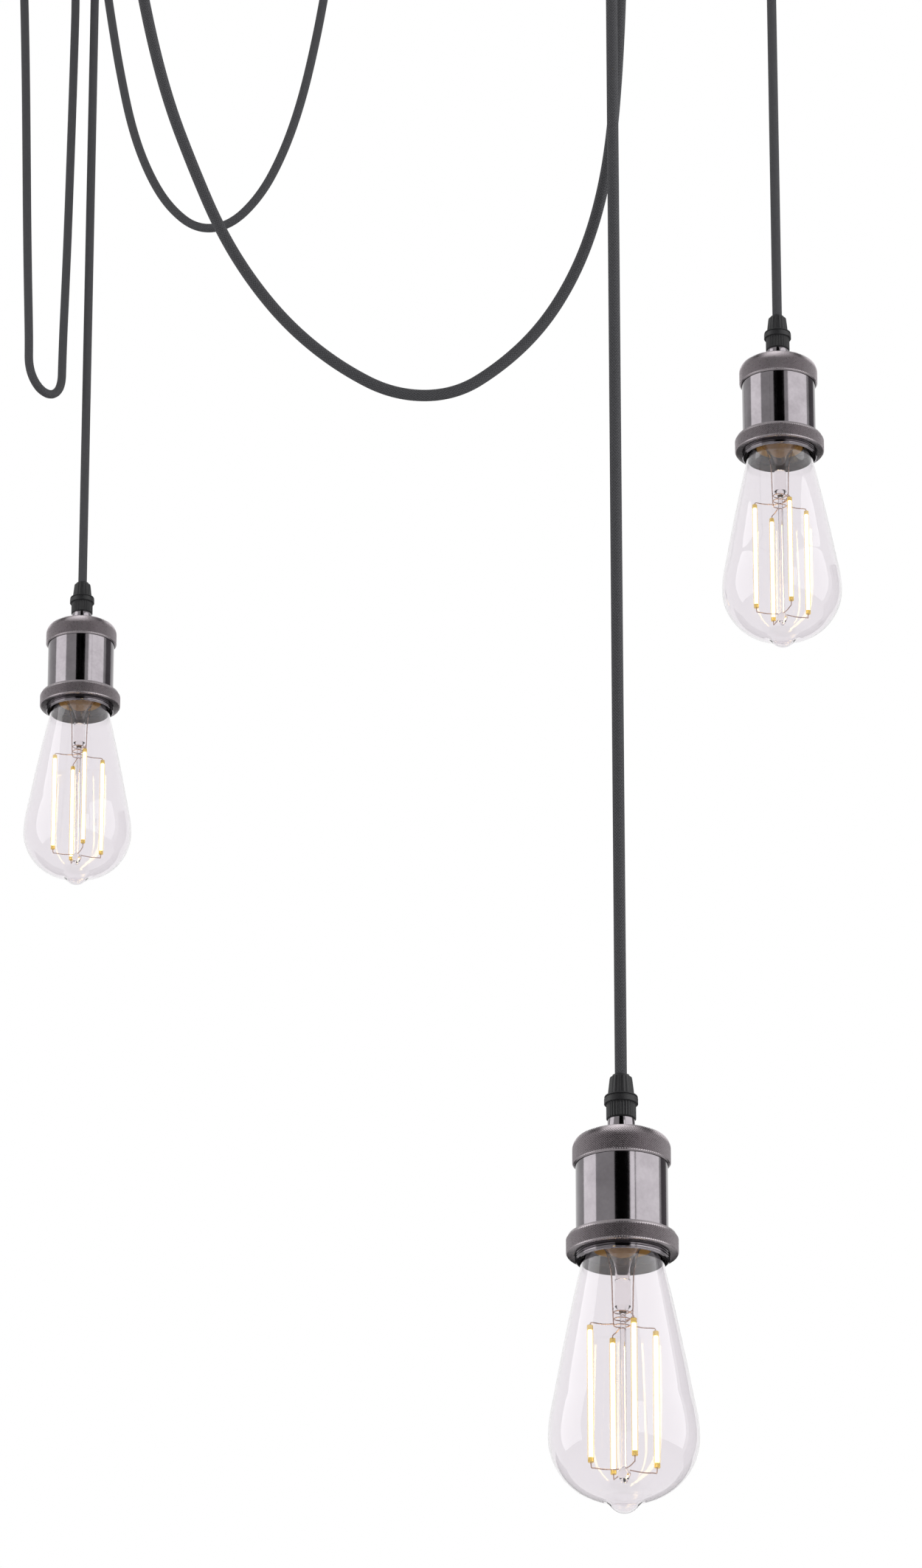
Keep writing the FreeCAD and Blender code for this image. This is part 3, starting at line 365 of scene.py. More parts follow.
centreRoute = [
    (-0.0165, -0.02858, -0.047), (-0.016, -0.031, -0.063), (-0.014, -0.045, -0.08),
    (-0.011, -0.078, -0.096), (-0.008, -0.129, -0.118), (-0.003, -0.19, -0.144),
    (0.002, -0.26, -0.167), (0.008, -0.334, -0.188), (0.013, -0.409, -0.202),
    (0.019, -0.485, -0.209), (0.024, -0.56, -0.209), (0.03, -0.636, -0.202),
    (0.035, -0.711, -0.187), (0.041, -0.786, -0.166), (0.046, -0.86, -0.139),
    (0.051, -0.92, -0.112), (0.054, -0.965, -0.09), (0.056, -0.997, -0.07),
    (0.057, -1.0079, -0.0378), (0.057, -1.0227, -0.0378), (0.0574, -1.0212, -0.062),
    (0.059, -1.0212, -0.105), (0.0621, -1.0212, -0.162), (0.0661, -1.0212, -0.227),
    (0.0711, -1.0212, -0.295), (0.0766, -1.0212, -0.362), (0.0826, -1.0212, -0.429),
    (0.0891, -1.0212, -0.495), (0.0962, -1.0212, -0.558), (0.1038, -1.0212, -0.616),
    (0.112, -1.0212, -0.663), (0.1217, -1.0212, -0.703), (0.1334, -1.0212, -0.736),
    (0.1461, -1.0212, -0.768), (0.1608, -1.0212, -0.794), (0.1786, -1.0212, -0.817),
    (0.2003, -1.0212, -0.836), (0.225, -1.0212, -0.85), (0.2517, -1.0212, -0.85),
    (0.2734, -1.0212, -0.835), (0.2912, -1.0212, -0.816), (0.305, -1.0212, -0.792),
    (0.3148, -1.0212, -0.765), (0.3217, -1.0212, -0.732), (0.3255, -1.0212, -0.69),
    (0.3279, -1.0212, -0.639), (0.3285, -1.0212, -0.575), (0.3283, -1.0212, -0.506),
    (0.3278, -1.0212, -0.437), (0.327, -1.0212, -0.368), (0.3261, -1.0212, -0.3),
    (0.325, -1.0212, -0.232), (0.3242, -1.0212, -0.165), (0.3236, -1.0212, -0.108),
    (0.3233, -1.0212, -0.068), (0.323, -1.0197, -0.0378), (0.323, -1.0345, -0.0378),
    (0.323, -1.033, -0.0499),
]
cordRoutes = [
    {"piece": "leftLoopCord", "node": "left_loop_cord", "length": 0.653, "points": leftRoute},
    {"piece": "rightSwagCord", "node": "right_swag_cord", "length": 1.041, "points": rightRoute},
    {"piece": "centreSwagCord", "node": "centre_swag_cord", "length": 2.816, "points": centreRoute},
]


def splineMesh(name, points, radius, look):
    curve = bpy.data.curves.new(name, "CURVE")
    curve.dimensions = "3D"
    spline = curve.splines.new("NURBS")
    spline.points.add(len(points) - 1)
    for knot, point in zip(spline.points, points):
        knot.co = (*point, 1)
    spline.order_u = 3
    spline.use_endpoint_u = True
    spline.resolution_u = look["steps"]
    curve.bevel_depth = radius
    curve.bevel_resolution = look["sides"]
    curve.use_fill_caps = True
    holder = bpy.data.objects.new(name, curve)
    mesh = bpy.data.meshes.new_from_object(holder)
    bpy.data.objects.remove(holder)
    return mesh


def smoothed(mesh, sharpAngle):
    mesh.polygons.foreach_set("use_smooth", [True] * len(mesh.polygons))
    mesh.set_sharp_from_angle(angle=math.radians(sharpAngle))


def shown(name, mesh, finish, body, *nodes):
    piece = placed(name, mesh)
    mesh.materials.append(materials[finish])
    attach(piece, body)
    if nodes:
        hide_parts(*nodes)
    return piece


def cordPiece(name, points, body, node):
    path = [vertex.co.copy() for vertex in splineMesh(name + "Path", points, 0, cordLook).vertices]
    mesh = splineMesh(name, points, cordLook["thick"] / 2, cordLook)
    along = [0.0]
    for before, after in zip(path, path[1:]):
        along.append(along[-1] + (after - before).length)
    for corner in mesh.uv_layers[0].data:  # from shares of the spline to metres, for the braid
        ring = round(corner.uv.x * (len(path) - 1))
        corner.uv = (along[ring], corner.uv.y * math.pi * cordLook["thick"])
    closed = bmesh.new()
    closed.from_mesh(mesh)
    bmesh.ops.remove_doubles(closed, verts=closed.verts, dist=cordLook["merge"])
    closed.to_mesh(mesh)
    closed.free()
    smoothed(mesh, cordLook["sharp"])
    cord = shown(name, mesh, "cord_textile", body, node)
    return cord, path


for route in cordRoutes:
    cord, path = cordPiece(route["piece"], route["points"], "ceiling_parts", route["node"])

lampPlaces = {}
for lamp in lampNames:
    low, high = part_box(lamp + "_shade_ring")
    lampPlaces[lamp] = Vector(((low.x + high.x) / 2, (low.y + high.y) / 2, low.z))
print("lamps:", {lamp: [round(part, 3) for part in place] for lamp, place in lampPlaces.items()})

# a drop cord runs from the swing's centre under its hook into the grip's nut, in metres
dropLook = {"joint": -0.0499, "into": 0.0725, "ballAround": 14, "ballRows": 10}
for lamp, place in lampPlaces.items():
    start = Vector((place.x, place.y, dropLook["joint"]))
    end = place + Vector((0, 0, dropLook["into"]))
    points = [start, start.lerp(end, 0.5), end]
    drop, path = cordPiece(lamp + "DropCord", points, lamp + "_pendant", lamp + "_drop_cord")
    ball = bmesh.new()
    ball.from_mesh(drop.data)
    bmesh.ops.create_uvsphere(ball, u_segments=dropLook["ballAround"],
                              v_segments=dropLook["ballRows"], radius=cordLook["thick"] / 2,
                              matrix=Matrix.Translation(start))
    ball.to_mesh(drop.data)
    ball.free()
    drop.data.polygons.foreach_set("use_smooth", [True] * len(drop.data.polygons))
print("cords:", len(cordRoutes) + len(lampPlaces))


# turned shapes: a profile's corners are (radius, height), or (radius, height, bow), where bow
# is the radius of the arc that leaves the corner, above 0 if it bulges to the left of its way
turnedLook = {"arcSteps": 10, "merge": 0.0005, "softAngle": 28, "softSegments": 2, "sharp": 32}


def arcPoints(start, end, bow, steps):
    run = end - start
    left = Vector((-run.y, run.x)).normalized()
    reach = math.sqrt(bow ** 2 - (run.length / 2) ** 2)
    middle = (start + end) / 2 - left * math.copysign(reach, bow)
    first = math.atan2(start.y - middle.y, start.x - middle.x)
    last = math.atan2(end.y - middle.y, end.x - middle.x)
    sweep = (last - first + math.pi) % math.tau - math.pi
    turns = [first + sweep * step / steps for step in range(1, steps)]
    return [middle + abs(bow) * Vector((math.cos(turn), math.sin(turn))) for turn in turns]


def outline(profile):
    line = []
    for corner, following in zip(profile, profile[1:] + profile[:1]):
        line.append(Vector(corner[:2]))
        if len(corner) > 2:
            line += arcPoints(Vector(corner[:2]), Vector(following[:2]), corner[2],
                              turnedLook["arcSteps"])
    return line


def latheMesh(line, around, soften=0.0):
    mesh = bmesh.new()
    verts = [mesh.verts.new((point.x, 0, point.y)) for point in line]
    edges = [mesh.edges.new(pair) for pair in zip(verts, verts[1:])]
    if line[0].x > 0:  # a line that starts on the axis ends there too, and any other is a ring
        edges.append(mesh.edges.new((verts[-1], verts[0])))
    bmesh.ops.spin(mesh, geom=verts + edges, cent=(0, 0, 0), axis=(0, 0, 1), angle=math.tau,
                   steps=around, use_merge=True)
    bmesh.ops.remove_doubles(mesh, verts=mesh.verts, dist=turnedLook["merge"])
    bmesh.ops.recalc_face_normals(mesh, faces=mesh.faces)
    if soften:
        angle = math.radians(turnedLook["softAngle"])
        sharp = [edge for edge in mesh.edges if edge.calc_face_angle(0) > angle]
        bmesh.ops.bevel(mesh, geom=sharp, offset=soften, offset_type="OFFSET",
                        segments=turnedLook["softSegments"], profile=0.5, affect="EDGES",
                        clamp_overlap=True, material=-1)
    return mesh


def turnedMesh(look):
    return latheMesh(outline(look["profile"]), look["around"])


def ribbedMesh(look):  # upright ribs in bands of (lowest height, highest height, inner radius)
    mesh = latheMesh(outline(look["profile"]), look["ribs"] * 6)
    for low, high, inside in look["ribBands"]:
        for vertex in mesh.verts:
            radius = math.hypot(vertex.co.x, vertex.co.y)
            if radius > inside and low < vertex.co.z < high:
                wave = 0.5 + 0.5 * math.cos(look["ribs"] * math.atan2(vertex.co.y, vertex.co.x))
                shrink = 1 - look["ribDepth"] * (1 - wave) / radius
                vertex.co.x *= shrink
                vertex.co.y *= shrink
    return mesh


# the knurl's rows are found again after the spin by rounded height and by radius
knurlLook = {"digits": 2, "reach": 0.05}


def knurledMesh(line, rows, around, depth):
    # rows are the line's first and last point with knurl, and each row is half a diamond
    mesh = latheMesh(line, around)
    mesh.normal_update()
    heights = {round(line[number].y, knurlLook["digits"]): number
               for number in range(rows[0], rows[1] + 1)}
    raised = set()
    knurled = {}
    for vertex in mesh.verts:
        number = heights.get(round(vertex.co.z, knurlLook["digits"]))
        radius = math.hypot(vertex.co.x, vertex.co.y)
        if number and abs(radius - line[number].x) < knurlLook["reach"]:
            place = round(math.atan2(vertex.co.y, vertex.co.x) / math.tau * around)
            knurled[vertex] = number
            if (number + place) % 2:
                raised.add(vertex)
    for vertex in raised:
        if rows[0] < knurled[vertex] < rows[1]:
            vertex.co += vertex.normal * depth
    for face in list(mesh.faces):  # each face folds along its groove
        if len(face.verts) == 4 and all(vertex in knurled for vertex in face.verts):
            grooves = [vertex for vertex in face.verts if vertex not in raised]
            if len(grooves) == 2:
                bmesh.utils.face_split(face, *grooves)
    return mesh


def meshData(name, mesh):
    data = bpy.data.meshes.new(name)
    mesh.to_mesh(data)
    mesh.free()
    return data


def joined(meshes):
    whole = bmesh.new()
    for mesh in meshes:
        holder = meshData("holder", mesh)
        whole.from_mesh(holder)
        bpy.data.meshes.remove(holder)
    return whole


def addPiece(mesh, name, place, finish, slotName, body, *nodes):
    toMetres = Matrix.Translation(place) @ Matrix.Scale(0.001, 4)
    bmesh.ops.transform(mesh, matrix=toMetres, verts=mesh.verts)
    data = meshData(name, mesh)
    smoothed(data, turnedLook["sharp"])
    shown(name, data, finish, body, *nodes)


# the lamp holder, from the shade ring up
ringLook = {"outside": 24.0, "bore": 20.3, "edge": 0.4, "foot": 0.24, "straight": 7.7,
            "inset": 0.15, "lip": (23.0, 8.5), "top": (22.6, 8.7), "around": 264, "depth": 0.5,
            "rows": 13}
barrelLook = {"outside": 19.7, "inside": 18.8, "low": -2.9, "top": 46.1, "foot": (19.5, -2.9),
              "edge": (19.7, -2.75), "threadLow": -2.6, "threadTop": 7.2, "pitch": 1.1,
              "ridge": ((0, 0), (0.5, 0.3), (0.5, 0.5), (0, 0.8)), "around": 160}
capLook = {"bore": 19.8, "rim": 21.1, "low": 40.1, "rimTop": 47.0, "edge": 0.5, "shoulder": 17.5,
           "shoulderTop": 52.2, "shoulderBow": 5.5, "crown": 8.5, "top": 55.0, "bow": 40.0,
           "bowSteps": 40, "wall": 1.2, "inset": 0.5, "tube": 5.1, "around": 232, "depth": 0.48,
           "step": 0.54, "knurlEnd": 9.6}
neckLook = {
    "tube": [(3.2, 50.2), (5.0, 50.2), (5.0, 55.0), (5.9, 55.0), (5.9, 60.6), (5.0, 60.6),
             (5.0, 64.6), (3.2, 64.6)],
    "nut": [(5.9, 51.2), (8.0, 51.2), (8.0, 53.7), (5.9, 53.7)],
    "around": 72, "soften": 0.15, "nutSides": 6,
}
gripLook = {
    "profile": [(5.05, 60.6), (6.0, 60.6), (6.4, 61.1), (6.4, 61.3), (6.4, 67.0), (6.55, 67.5),
                (7.0, 67.5), (7.3, 67.8), (7.3, 70.0), (6.8, 70.3), (6.8, 70.6), (7.2, 70.8),
                (7.0, 71.3), (4.1, 71.3), (4.1, 78.8), (2.72, 78.8), (2.72, 64.7), (5.05, 64.7)],
    "ribs": 30, "ribDepth": 0.3, "ribBands": [(61.2, 67.1, 5.6)],
}
nutLook = {
    "profile": [(4.2, 71.35), (5.5, 71.35), (5.75, 71.65), (5.72, 71.95), (4.92, 78.9),
                (4.8, 79.6, 1.2), (3.7, 80.8), (2.72, 80.8), (2.72, 79.05), (4.2, 79.05)],
    "ribs": 18, "ribDepth": 0.28, "ribBands": [(71.85, 79.3, 4.5)],
}


def shadeRingMesh(look):
    wall = look["outside"] - look["depth"]
    edge, rows = look["edge"], look["rows"]
    rowStep = (look["straight"] - 2 * edge) / rows
    line = outline([(look["bore"], 0), (wall - edge, 0), (wall, look["foot"])])
    first = len(line)
    line += [Vector((wall, edge + row * rowStep)) for row in range(rows + 1)]
    last = len(line) - 1
    line += outline([(wall - look["inset"], look["straight"]), look["lip"], look["top"],
                     (look["bore"], look["top"][1])])
    return knurledMesh(line, (first, last), look["around"], look["depth"])


def barrelMesh(look):
    profile = [(look["inside"], look["low"]), look["foot"], look["edge"]]
    height = look["threadLow"]
    while height + look["pitch"] < look["threadTop"]:
        profile += [(look["outside"] + out, height + rise) for out, rise in look["ridge"]]
        height += look["pitch"]
    profile += [(look["outside"], look["top"]), (look["inside"], look["top"])]
    return latheMesh(outline(profile), look["around"])


def shellCapMesh(look):
    wall = look["rim"] - look["depth"]
    start = Vector((wall, look["low"] + look["edge"]))
    bend = Vector((wall, look["rimTop"]))
    shoulder = Vector((look["shoulder"], look["shoulderTop"]))
    crown = Vector((look["crown"], look["top"]))
    steps = look["bowSteps"]
    band = [start, bend] + arcPoints(bend, shoulder, -look["shoulderBow"], steps) + [shoulder]
    band += [point for point in arcPoints(shoulder, crown, -look["bow"], steps)
             if point.x > look["knurlEnd"]]
    line = [Vector((look["bore"], look["low"])), Vector((wall - look["edge"], look["low"])), start]
    first = len(line) - 1
    walked = 0.0
    for before, after in zip(band, band[1:]):  # evenly spaced rows up the wall and over the crown
        run = (after - before).length
        while (len(line) - first) * look["step"] <= walked + run:
            share = ((len(line) - first) * look["step"] - walked) / run
            line.append(before.lerp(after, share))
        walked += run
    last = len(line) - 1
    within = look["top"] - look["wall"]
    line += outline([(look["crown"], look["top"]), (look["tube"], look["top"]),
                     (look["tube"], within), (look["crown"], within),
                     (look["shoulder"] - look["inset"], look["shoulderTop"] - look["wall"]),
                     (look["bore"], look["rimTop"] - look["inset"])])
    return knurledMesh(line, (first, last), look["around"], look["depth"])


def neckMesh(look):
    return joined([latheMesh(outline(look["tube"]), look["around"], look["soften"]),
                   latheMesh(outline(look["nut"]), look["nutSides"])])


# the bulb: its glass is 0.8 thick, with the inside's corners first, from the tip up
bulbLook = {
    "profile": [(0.0, -112.4, -6.8), (4.9, -110.3, 7.7), (9.1, -106.69, -37.7),
                (15.6, -104.42, -26.6), (31.2, -80.2, -64.2), (29.2, -64.9, -1299.2),
                (17.5, -7.0, -15.2), (10.4, 5.0), (10.4, 8.0), (11.2, 8.0), (11.2, 5.0, 16.0),
                (18.3, -7.0, 1300.0), (30.0, -64.9, 65.0), (32.0, -80.2, 27.4),
                (15.95, -105.1, 38.5), (9.6, -107.38, -8.5), (5.4, -110.9, 7.28), (0.0, -113.3)],
    "around": 96,
}
# the stem: flare and tube, then the rod with the hub that carries the lower wires
stemLook = {
    "profile": [(0.0, -12.0), (2.6, -11.2, 18.0), (9.4, 4.6), (10.2, 4.6, -18.0), (3.4, -12.0),
                (3.4, -23.0), (1.7, -25.0), (1.2, -27.0), (1.2, -93.4), (2.6, -95.0, 2.4),
                (2.6, -97.0), (1.2, -100.0, 1.25), (0.0, -100.5)],
    "around": 48,
}
# the cement that closes the glass inside the bulb's cap, seen through the mouth; it has a faint
# glow of painted light for the filaments' light that falls on it
cementLook = {
    "profile": [(3.2, 7.6), (3.2, 6.4), (9.2, 5.4), (10.4, 4.75), (12.3, 2.2), (12.45, 2.8),
                (10.3, 6.6), (10.3, 7.6)],
    "around": 64,
}
# four upright sticks in a circle: each part of them has its radius and its spans of (top, foot)
stickLook = {"circle": 14.6, "turn": 16.7, "chamfer": 0.2, "around": 16}
coreLook = {"thick": 0.85, "spans": [(-34.6, -90.4)]}
phosphorLook = {"thick": 1.5, "spans": [(-34.8, -90.2)]}
stickEndLook = {"thick": 1.3, "spans": [(-32.5, -34.7), (-90.3, -92.5)]}
# an arm is (height, its end at the stick, its start's reach), and its bends are (reach, rise)
leadLook = {
    "thick": 0.28, "arms": ((-31.5, -34.0, 3.9), (-95.0, -91.0, 2.4)),
    "startRise": 0.6, "bends": ((8.0, -0.2), (13.578, 0.3), (14.6, 0.0)),
    "lead": ((6.8, 0, 1.5), (4.9, 0, -6), (4.5, 0, -12), (4.4, 0.4, -20), (4.0, 0, -31.2)),
    "loops": (-24.5, -27.5, -30.5), "loopReach": 4.0, "loopSteps": 10, "loopFall": 1.8,
    "loopThick": 0.252,
}
wireLook = {"steps": 6, "sides": 2, "merge": 0.001}


def wireMesh(points, thick):
    data = splineMesh("wire", points, thick, wireLook)
    mesh = bmesh.new()
    mesh.from_mesh(data)
    bpy.data.meshes.remove(data)
    bmesh.ops.remove_doubles(mesh, verts=mesh.verts, dist=wireLook["merge"])
    return mesh


def stickPlaces():
    turns = [math.radians(stickLook["turn"] + 90 * quarter) for quarter in range(4)]
    return [Vector((stickLook["circle"] * math.cos(turn), stickLook["circle"] * math.sin(turn), 0))
            for turn in turns]


def sticksMesh(look):
    thick, chamfer = look["thick"], stickLook["chamfer"]
    sticks = []
    for place in stickPlaces():
        for top, low in look["spans"]:
            stick = latheMesh(outline([(0, top), (thick - chamfer, top), (thick, top - chamfer),
                                       (thick, low + chamfer), (thick - chamfer, low), (0, low)]),
                              stickLook["around"])
            bmesh.ops.translate(stick, vec=place, verts=stick.verts)
            sticks.append(stick)
    return joined(sticks)


def leadMesh(look):
    wires = []
    for place in stickPlaces():
        out = place.normalized()
        for height, end, near in look["arms"]:
            bends = [(near, look["startRise"]), *look["bends"], (stickLook["circle"], end - height)]
            points = [out * reach + Vector((0, 0, height + rise)) for reach, rise in bends]
            wires.append(wireMesh(points, look["thick"]))
    for side in (1, -1):  # the two leads beside the stem
        wires.append(wireMesh([(side * x, y, z) for x, y, z in look["lead"]], look["thick"]))
    reach = look["loopReach"]
    shares = [step / look["loopSteps"] for step in range(look["loopSteps"] + 1)]
    for height in look["loops"]:  # the loops where the leads are tied
        points = [(reach * math.cos(math.tau * share), reach * math.sin(math.tau * share),
                   height - look["loopFall"] * share) for share in shares]
        wires.append(wireMesh(points, look["loopThick"]))
    return joined(wires)


lampPieces = [  # name, shape, sizes, finish, slot, body, and the CAD node that it replaces
    ("ShadeRing", shadeRingMesh, ringLook, "knurled_nickel", "knurled_nickel", "ring",
     "shade_ring"),
    ("Barrel", barrelMesh, barrelLook, "black_nickel", "black_nickel", "pendant", "barrel"),
    ("ShellCap", shellCapMesh, capLook, "knurled_nickel", "knurled_nickel", "pendant", "shell_cap"),
    ("Neck", neckMesh, neckLook, "black_nickel", "black_nickel", "pendant", "neck_tube"),
    ("Grip", ribbedMesh, gripLook, "grip_plastic", "grip_plastic", "pendant", "grip_body"),
    ("GripNut", ribbedMesh, nutLook, "grip_plastic", "grip_plastic", "nut", "grip_nut"),
    ("BulbGlass", turnedMesh, bulbLook, "bulb_clear", "bulb_clear", "bulb", "bulb_glass"),
    ("BulbStem", turnedMesh, stemLook, "stem_clear", "stem_clear", "bulb", "bulb_stem"),
    ("Filaments", sticksMesh, coreLook, "filament", "filament", "bulb", "bulb_filaments"),
    ("Phosphor", sticksMesh, phosphorLook, "phosphor", "filament", "bulb"),
    ("FilamentEnds", sticksMesh, stickEndLook, "filamentEnd", "filament", "bulb"),
    ("Leads", leadMesh, leadLook, "leadWire", "filament", "bulb"),
    ("Cement", turnedMesh, cementLook, "cement", "cap_brass", "bulb"),
]
for lamp, place in lampPlaces.items():
    for name, shapeMesh, look, finish, slotName, body, *nodes in lampPieces:
        addPiece(shapeMesh(look), lamp + name, place, finish, slotName, lamp + "_" + body,
                 *[lamp + "_" + node for node in nodes])
    print("lamp", lamp)


# the ceiling canopy with its three cord grips
canopyLook = {
    "profile": [(0.0, -23.8), (47.0, -23.8, -1.8), (48.8, -22.0), (48.8, 0.0), (50.0, 0.0),
                (50.0, -22.0, 3.0), (47.0, -25.0), (0.0, -25.0)],
    "around": 128,
}
exitLook = {  # heights are from the cup's lower face
    "profile": [(2.72, 5.0), (2.72, -22.0), (3.7, -22.0, 1.2), (4.8, -20.8), (5.75, -11.2),
                (5.45, -11.0), (6.0, -11.0), (6.4, -10.5), (6.4, -6.4), (7.0, -6.0), (7.3, -5.7),
                (7.3, -0.4), (7.0, -0.05), (5.0, -0.05), (5.0, 1.25), (8.0, 1.25), (8.0, 4.0),
                (5.0, 4.0), (5.0, 5.0)],
    "ribs": 28, "ribDepth": 0.25, "ribBands": [(-10.6, -6.3, 5.8), (-20.7, -11.1, 4.3)],
    "circle": 33.0, "turns": (0, 120, 240), "height": -25.0,
}


def exitGripMesh(turn):
    mesh = ribbedMesh(exitLook)
    angle = math.radians(turn)
    bmesh.ops.translate(mesh, verts=mesh.verts, vec=(exitLook["circle"] * math.cos(angle),
                                                     exitLook["circle"] * math.sin(angle),
                                                     exitLook["height"]))
    return mesh


origin = Vector((0, 0, 0))
addPiece(turnedMesh(canopyLook), "canopyCup", origin, "canopy", "canopy", "ceiling_parts",
         "canopy_cup")
addPiece(joined([exitGripMesh(turn) for turn in exitLook["turns"]]), "canopyGrips", origin,
         "grip_plastic", "grip_plastic", "ceiling_parts", "canopy_grips")

# the ceiling hooks: a bent wire with a flange and a screw shank; the neck leads into the bowl
hookLook = {
    "wire": 3.0, "bowl": 10.0, "middle": -34.0, "bowlFrom": 75, "bowlSweep": 255, "bowlSteps": 25,
    "bowlShare": 1.003, "neck": [(0, -2), (0, -12), (0, -19.5), (0.3, -23.2), (2.6, -24.2)],
    "tipAround": 20, "tipRows": 12,
    "flange": [(0.0, 0.0), (8.0, 0.0), (8.0, -1.4, 2.6), (3.6, -3.0), (0.0, -3.0)],
    "flangeAround": 48, "shank": 2.4, "shankCore": 1.8, "shankLength": 24.0, "shankTip": 0.5,
    "taper": 3, "threadTop": 20.0, "threadLow": 4, "pitch": 2.0, "collar": 3.0, "shankAround": 24,
}
hookTurns = {"left_hook": 90, "right_hook": 90, "centre_hook": 0, "passing_hook": 90,
             "near_hook": 0}


def hookMesh(look):
    bend = [(x, 0, z) for x, z in look["neck"]]
    reach = look["bowl"] * look["bowlShare"]
    for step in range(1, look["bowlSteps"] + 1):
        turn = math.radians(look["bowlFrom"] - look["bowlSweep"] * step / look["bowlSteps"])
        bend.append((reach * math.cos(turn), 0, look["middle"] + reach * math.sin(turn)))
    tip = bmesh.new()
    bmesh.ops.create_uvsphere(tip, u_segments=look["tipAround"], v_segments=look["tipRows"],
                              radius=look["wire"],
                              matrix=Matrix.Translation((-look["bowl"], 0, look["middle"])))
    shank = [(0, look["shankLength"]), (look["shankTip"], look["shankLength"]),
             (look["shankCore"], look["shankLength"] - look["taper"])]
    height = look["threadTop"]
    while height > look["threadLow"]:
        shank += [(look["shank"], height), (look["shankCore"], height - look["pitch"] / 2)]
        height -= look["pitch"]
    shank += [(look["shank"], look["collar"]), (look["shank"], 0), (0, 0)]
    return joined([wireMesh(bend, look["wire"]), tip,
                   latheMesh(outline(look["flange"]), look["flangeAround"]),
                   latheMesh(outline(shank), look["shankAround"])])


for node, turn in hookTurns.items():
    low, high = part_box(node)
    mesh = hookMesh(hookLook)
    bmesh.ops.rotate(mesh, verts=mesh.verts, cent=origin,
                     matrix=Matrix.Rotation(math.radians(turn), 3, "Z"))
    place = Vector(((low.x + high.x) / 2, (low.y + high.y) / 2, 0))
    addPiece(mesh, node.split("_")[0] + "Hook", place, "hook_metal", "hook_metal",
             "ceiling_parts", node)
print("canopy and hooks:", 2 + len(hookTurns))

# CAD nodes that stay get their finish
slotOf = {item["node"]: item["material_slot"] for item in frame["record"]["subparts"]}
for node, holder in frame["nodes"].items():
    if not holder.hide_render:
        holder.data.materials.clear()
        holder.data.materials.append(materials[slotOf[node]])
        print("kept", node)

# the studio: a pale floor that fades into the background, soft lamps, and dark cards that the
# polished barrels mirror; lamps and cards stand round the middle, with azimuth 0 at the camera
studio = {"middle": (0.25, -0.4, 0), "world": 0.62, "floorPlace": (0.2, 0, -2.62), "floorSize": 30,
          "floorTone": 0.93, "floorRough": 0.95, "fadeFrom": 2.7, "fadeTo": 9.0, "fadeStart": 0.7}
softLamps = {
    "leftPanel": {"azimuth": -80, "distance": 3.2, "height": 0.1, "size": (2.5, 4.4), "power": 80},
    "rightPanel": {"azimuth": 63, "distance": 3.2, "height": 0.1, "size": (4.2, 4.4), "power": 125},
    "rightStrip": {"azimuth": 23, "distance": 5, "height": -0.6, "size": (0.85, 3.4), "power": 22},
}
darkCards = {
    "frontCard": {"azimuth": 0, "distance": 6.4, "height": 0, "size": (3.9, 14), "shade": 0.003},
    "rightCard": {"azimuth": 122, "distance": 4.6, "height": -0.6, "size": (2.6, 5), "shade": 0.22},
    "lowCard": {"azimuth": 180, "distance": 2.6, "height": -2, "size": (6, 1.5), "shade": 0.03},
}
cardTint = (1.0, 0.94, 1.0)


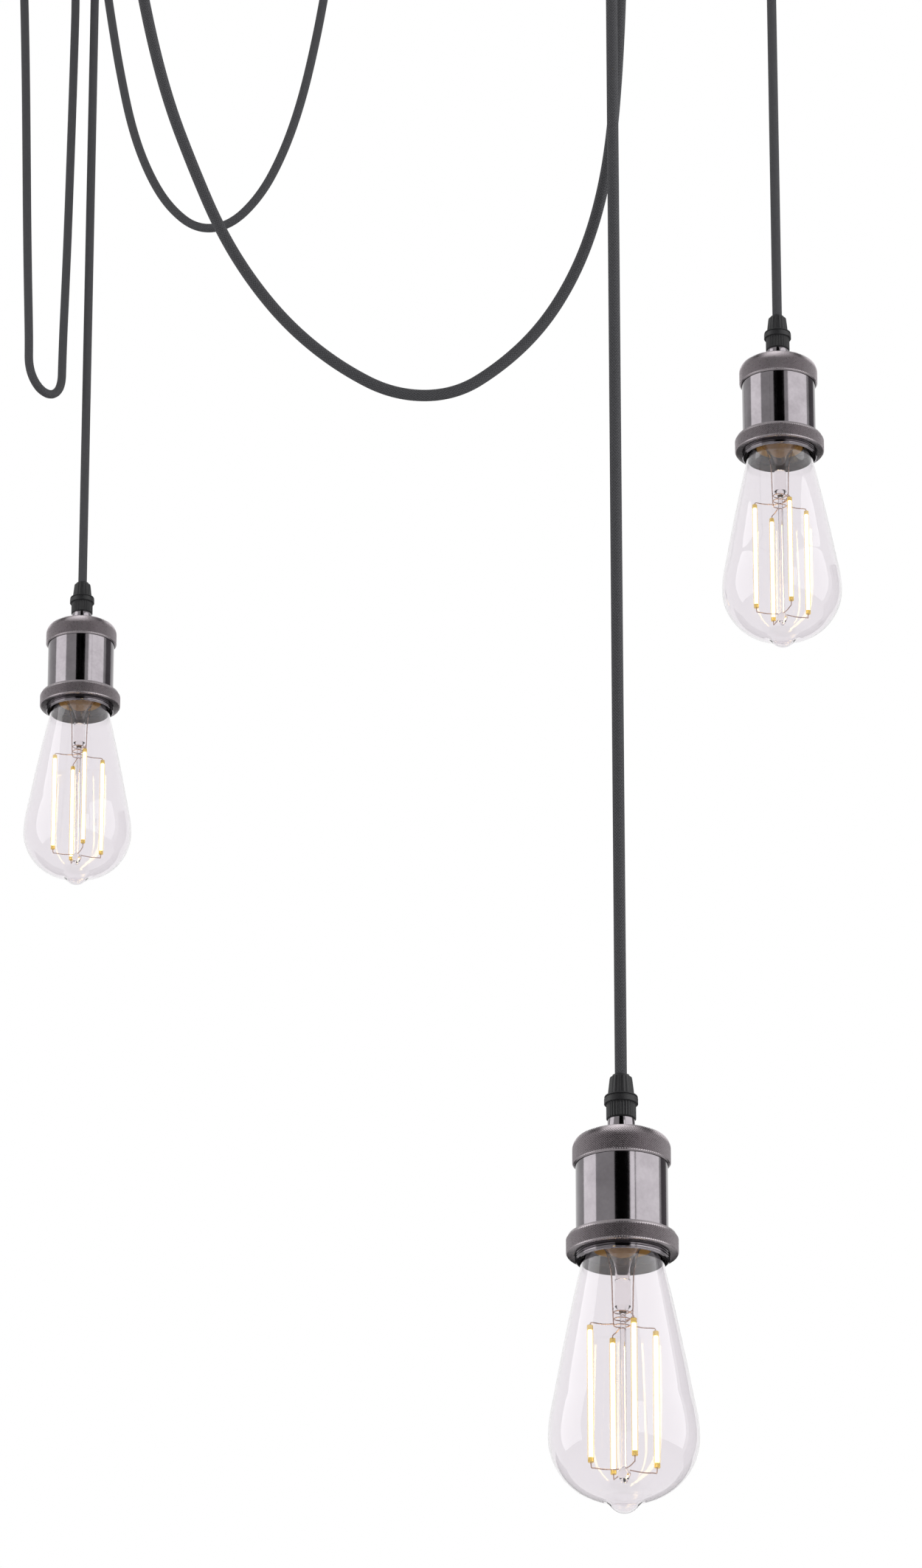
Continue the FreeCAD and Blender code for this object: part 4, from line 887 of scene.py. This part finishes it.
def floorPiece():
    mesh = bmesh.new()
    bmesh.ops.create_grid(mesh, x_segments=2, y_segments=2, size=studio["floorSize"] / 2,
                          matrix=Matrix.Translation(studio["floorPlace"]))
    floor = placed("floor", meshData("floor", mesh))
    material, tree, shader = newMaterial("paleFloor")
    shader.inputs["Base Color"].default_value = (*[studio["floorTone"]] * 3, 1)
    shader.inputs["Roughness"].default_value = studio["floorRough"]
    far = tree.nodes.new("ShaderNodeVectorMath")
    far.operation = "LENGTH"
    tree.links.new(coordinate(tree, "Object"), far.inputs[0])
    whiter = stretched(tree, far.outputs["Value"], studio["fadeStart"], 1.0, studio["fadeFrom"],
                       studio["fadeTo"])
    shaderMix(tree, mathNode(tree, "MULTIPLY", seenMask(tree), whiter), shader,
              tree.nodes.new("ShaderNodeEmission"))
    floor.data.materials.append(material)


def standing(item):  # upright, facing the middle
    turn = math.radians(item["azimuth"])
    outward = Vector((math.sin(turn), -math.cos(turn), 0))
    spot = Vector(studio["middle"]) + outward * item["distance"] + Vector((0, 0, item["height"]))
    facing = (-outward).to_track_quat("-Z", "Y").to_matrix().to_4x4()
    return Matrix.Translation(spot) @ facing


floorPiece()

for name, item in softLamps.items():
    lampData = bpy.data.lights.new(name, "AREA")
    lampData.shape = "RECTANGLE"
    lampData.size, lampData.size_y = item["size"]
    lampData.energy = item["power"]
    lampObject = placed(name, lampData)
    lampObject.matrix_world = standing(item)
    lampObject.visible_camera = False
    lampObject.visible_transmission = False

for name, item in darkCards.items():
    mesh = bmesh.new()
    bmesh.ops.create_grid(mesh, x_segments=1, y_segments=1, size=0.5)
    bmesh.ops.scale(mesh, verts=mesh.verts, vec=(*item["size"], 1))
    bmesh.ops.transform(mesh, verts=mesh.verts, matrix=standing(item))
    card = placed(name, meshData(name, mesh))
    material, tree, shader = newMaterial(name)
    tree.nodes.remove(shader)
    shade = tree.nodes.new("ShaderNodeEmission")
    shade.inputs["Color"].default_value = (*[item["shade"] * part for part in cardTint], 1)
    tree.links.new(shade.outputs[0], tree.nodes["Material Output"].inputs["Surface"])
    card.data.materials.append(material)
    card.visible_camera = False
    card.visible_diffuse = False
    card.visible_transmission = False
    card.visible_shadow = False

world = bpy.data.worlds.new("studio")
bpy.context.scene.world = world
world.use_nodes = True
soft = world.node_tree.nodes["Background"]
white = world.node_tree.nodes.new("ShaderNodeBackground")
for background in (soft, white):
    background.inputs["Color"].default_value = (1, 1, 1, 1)
soft.inputs["Strength"].default_value = studio["world"]
shaderMix(world.node_tree, seenMask(world.node_tree), soft, white, "World Output")
print("studio")
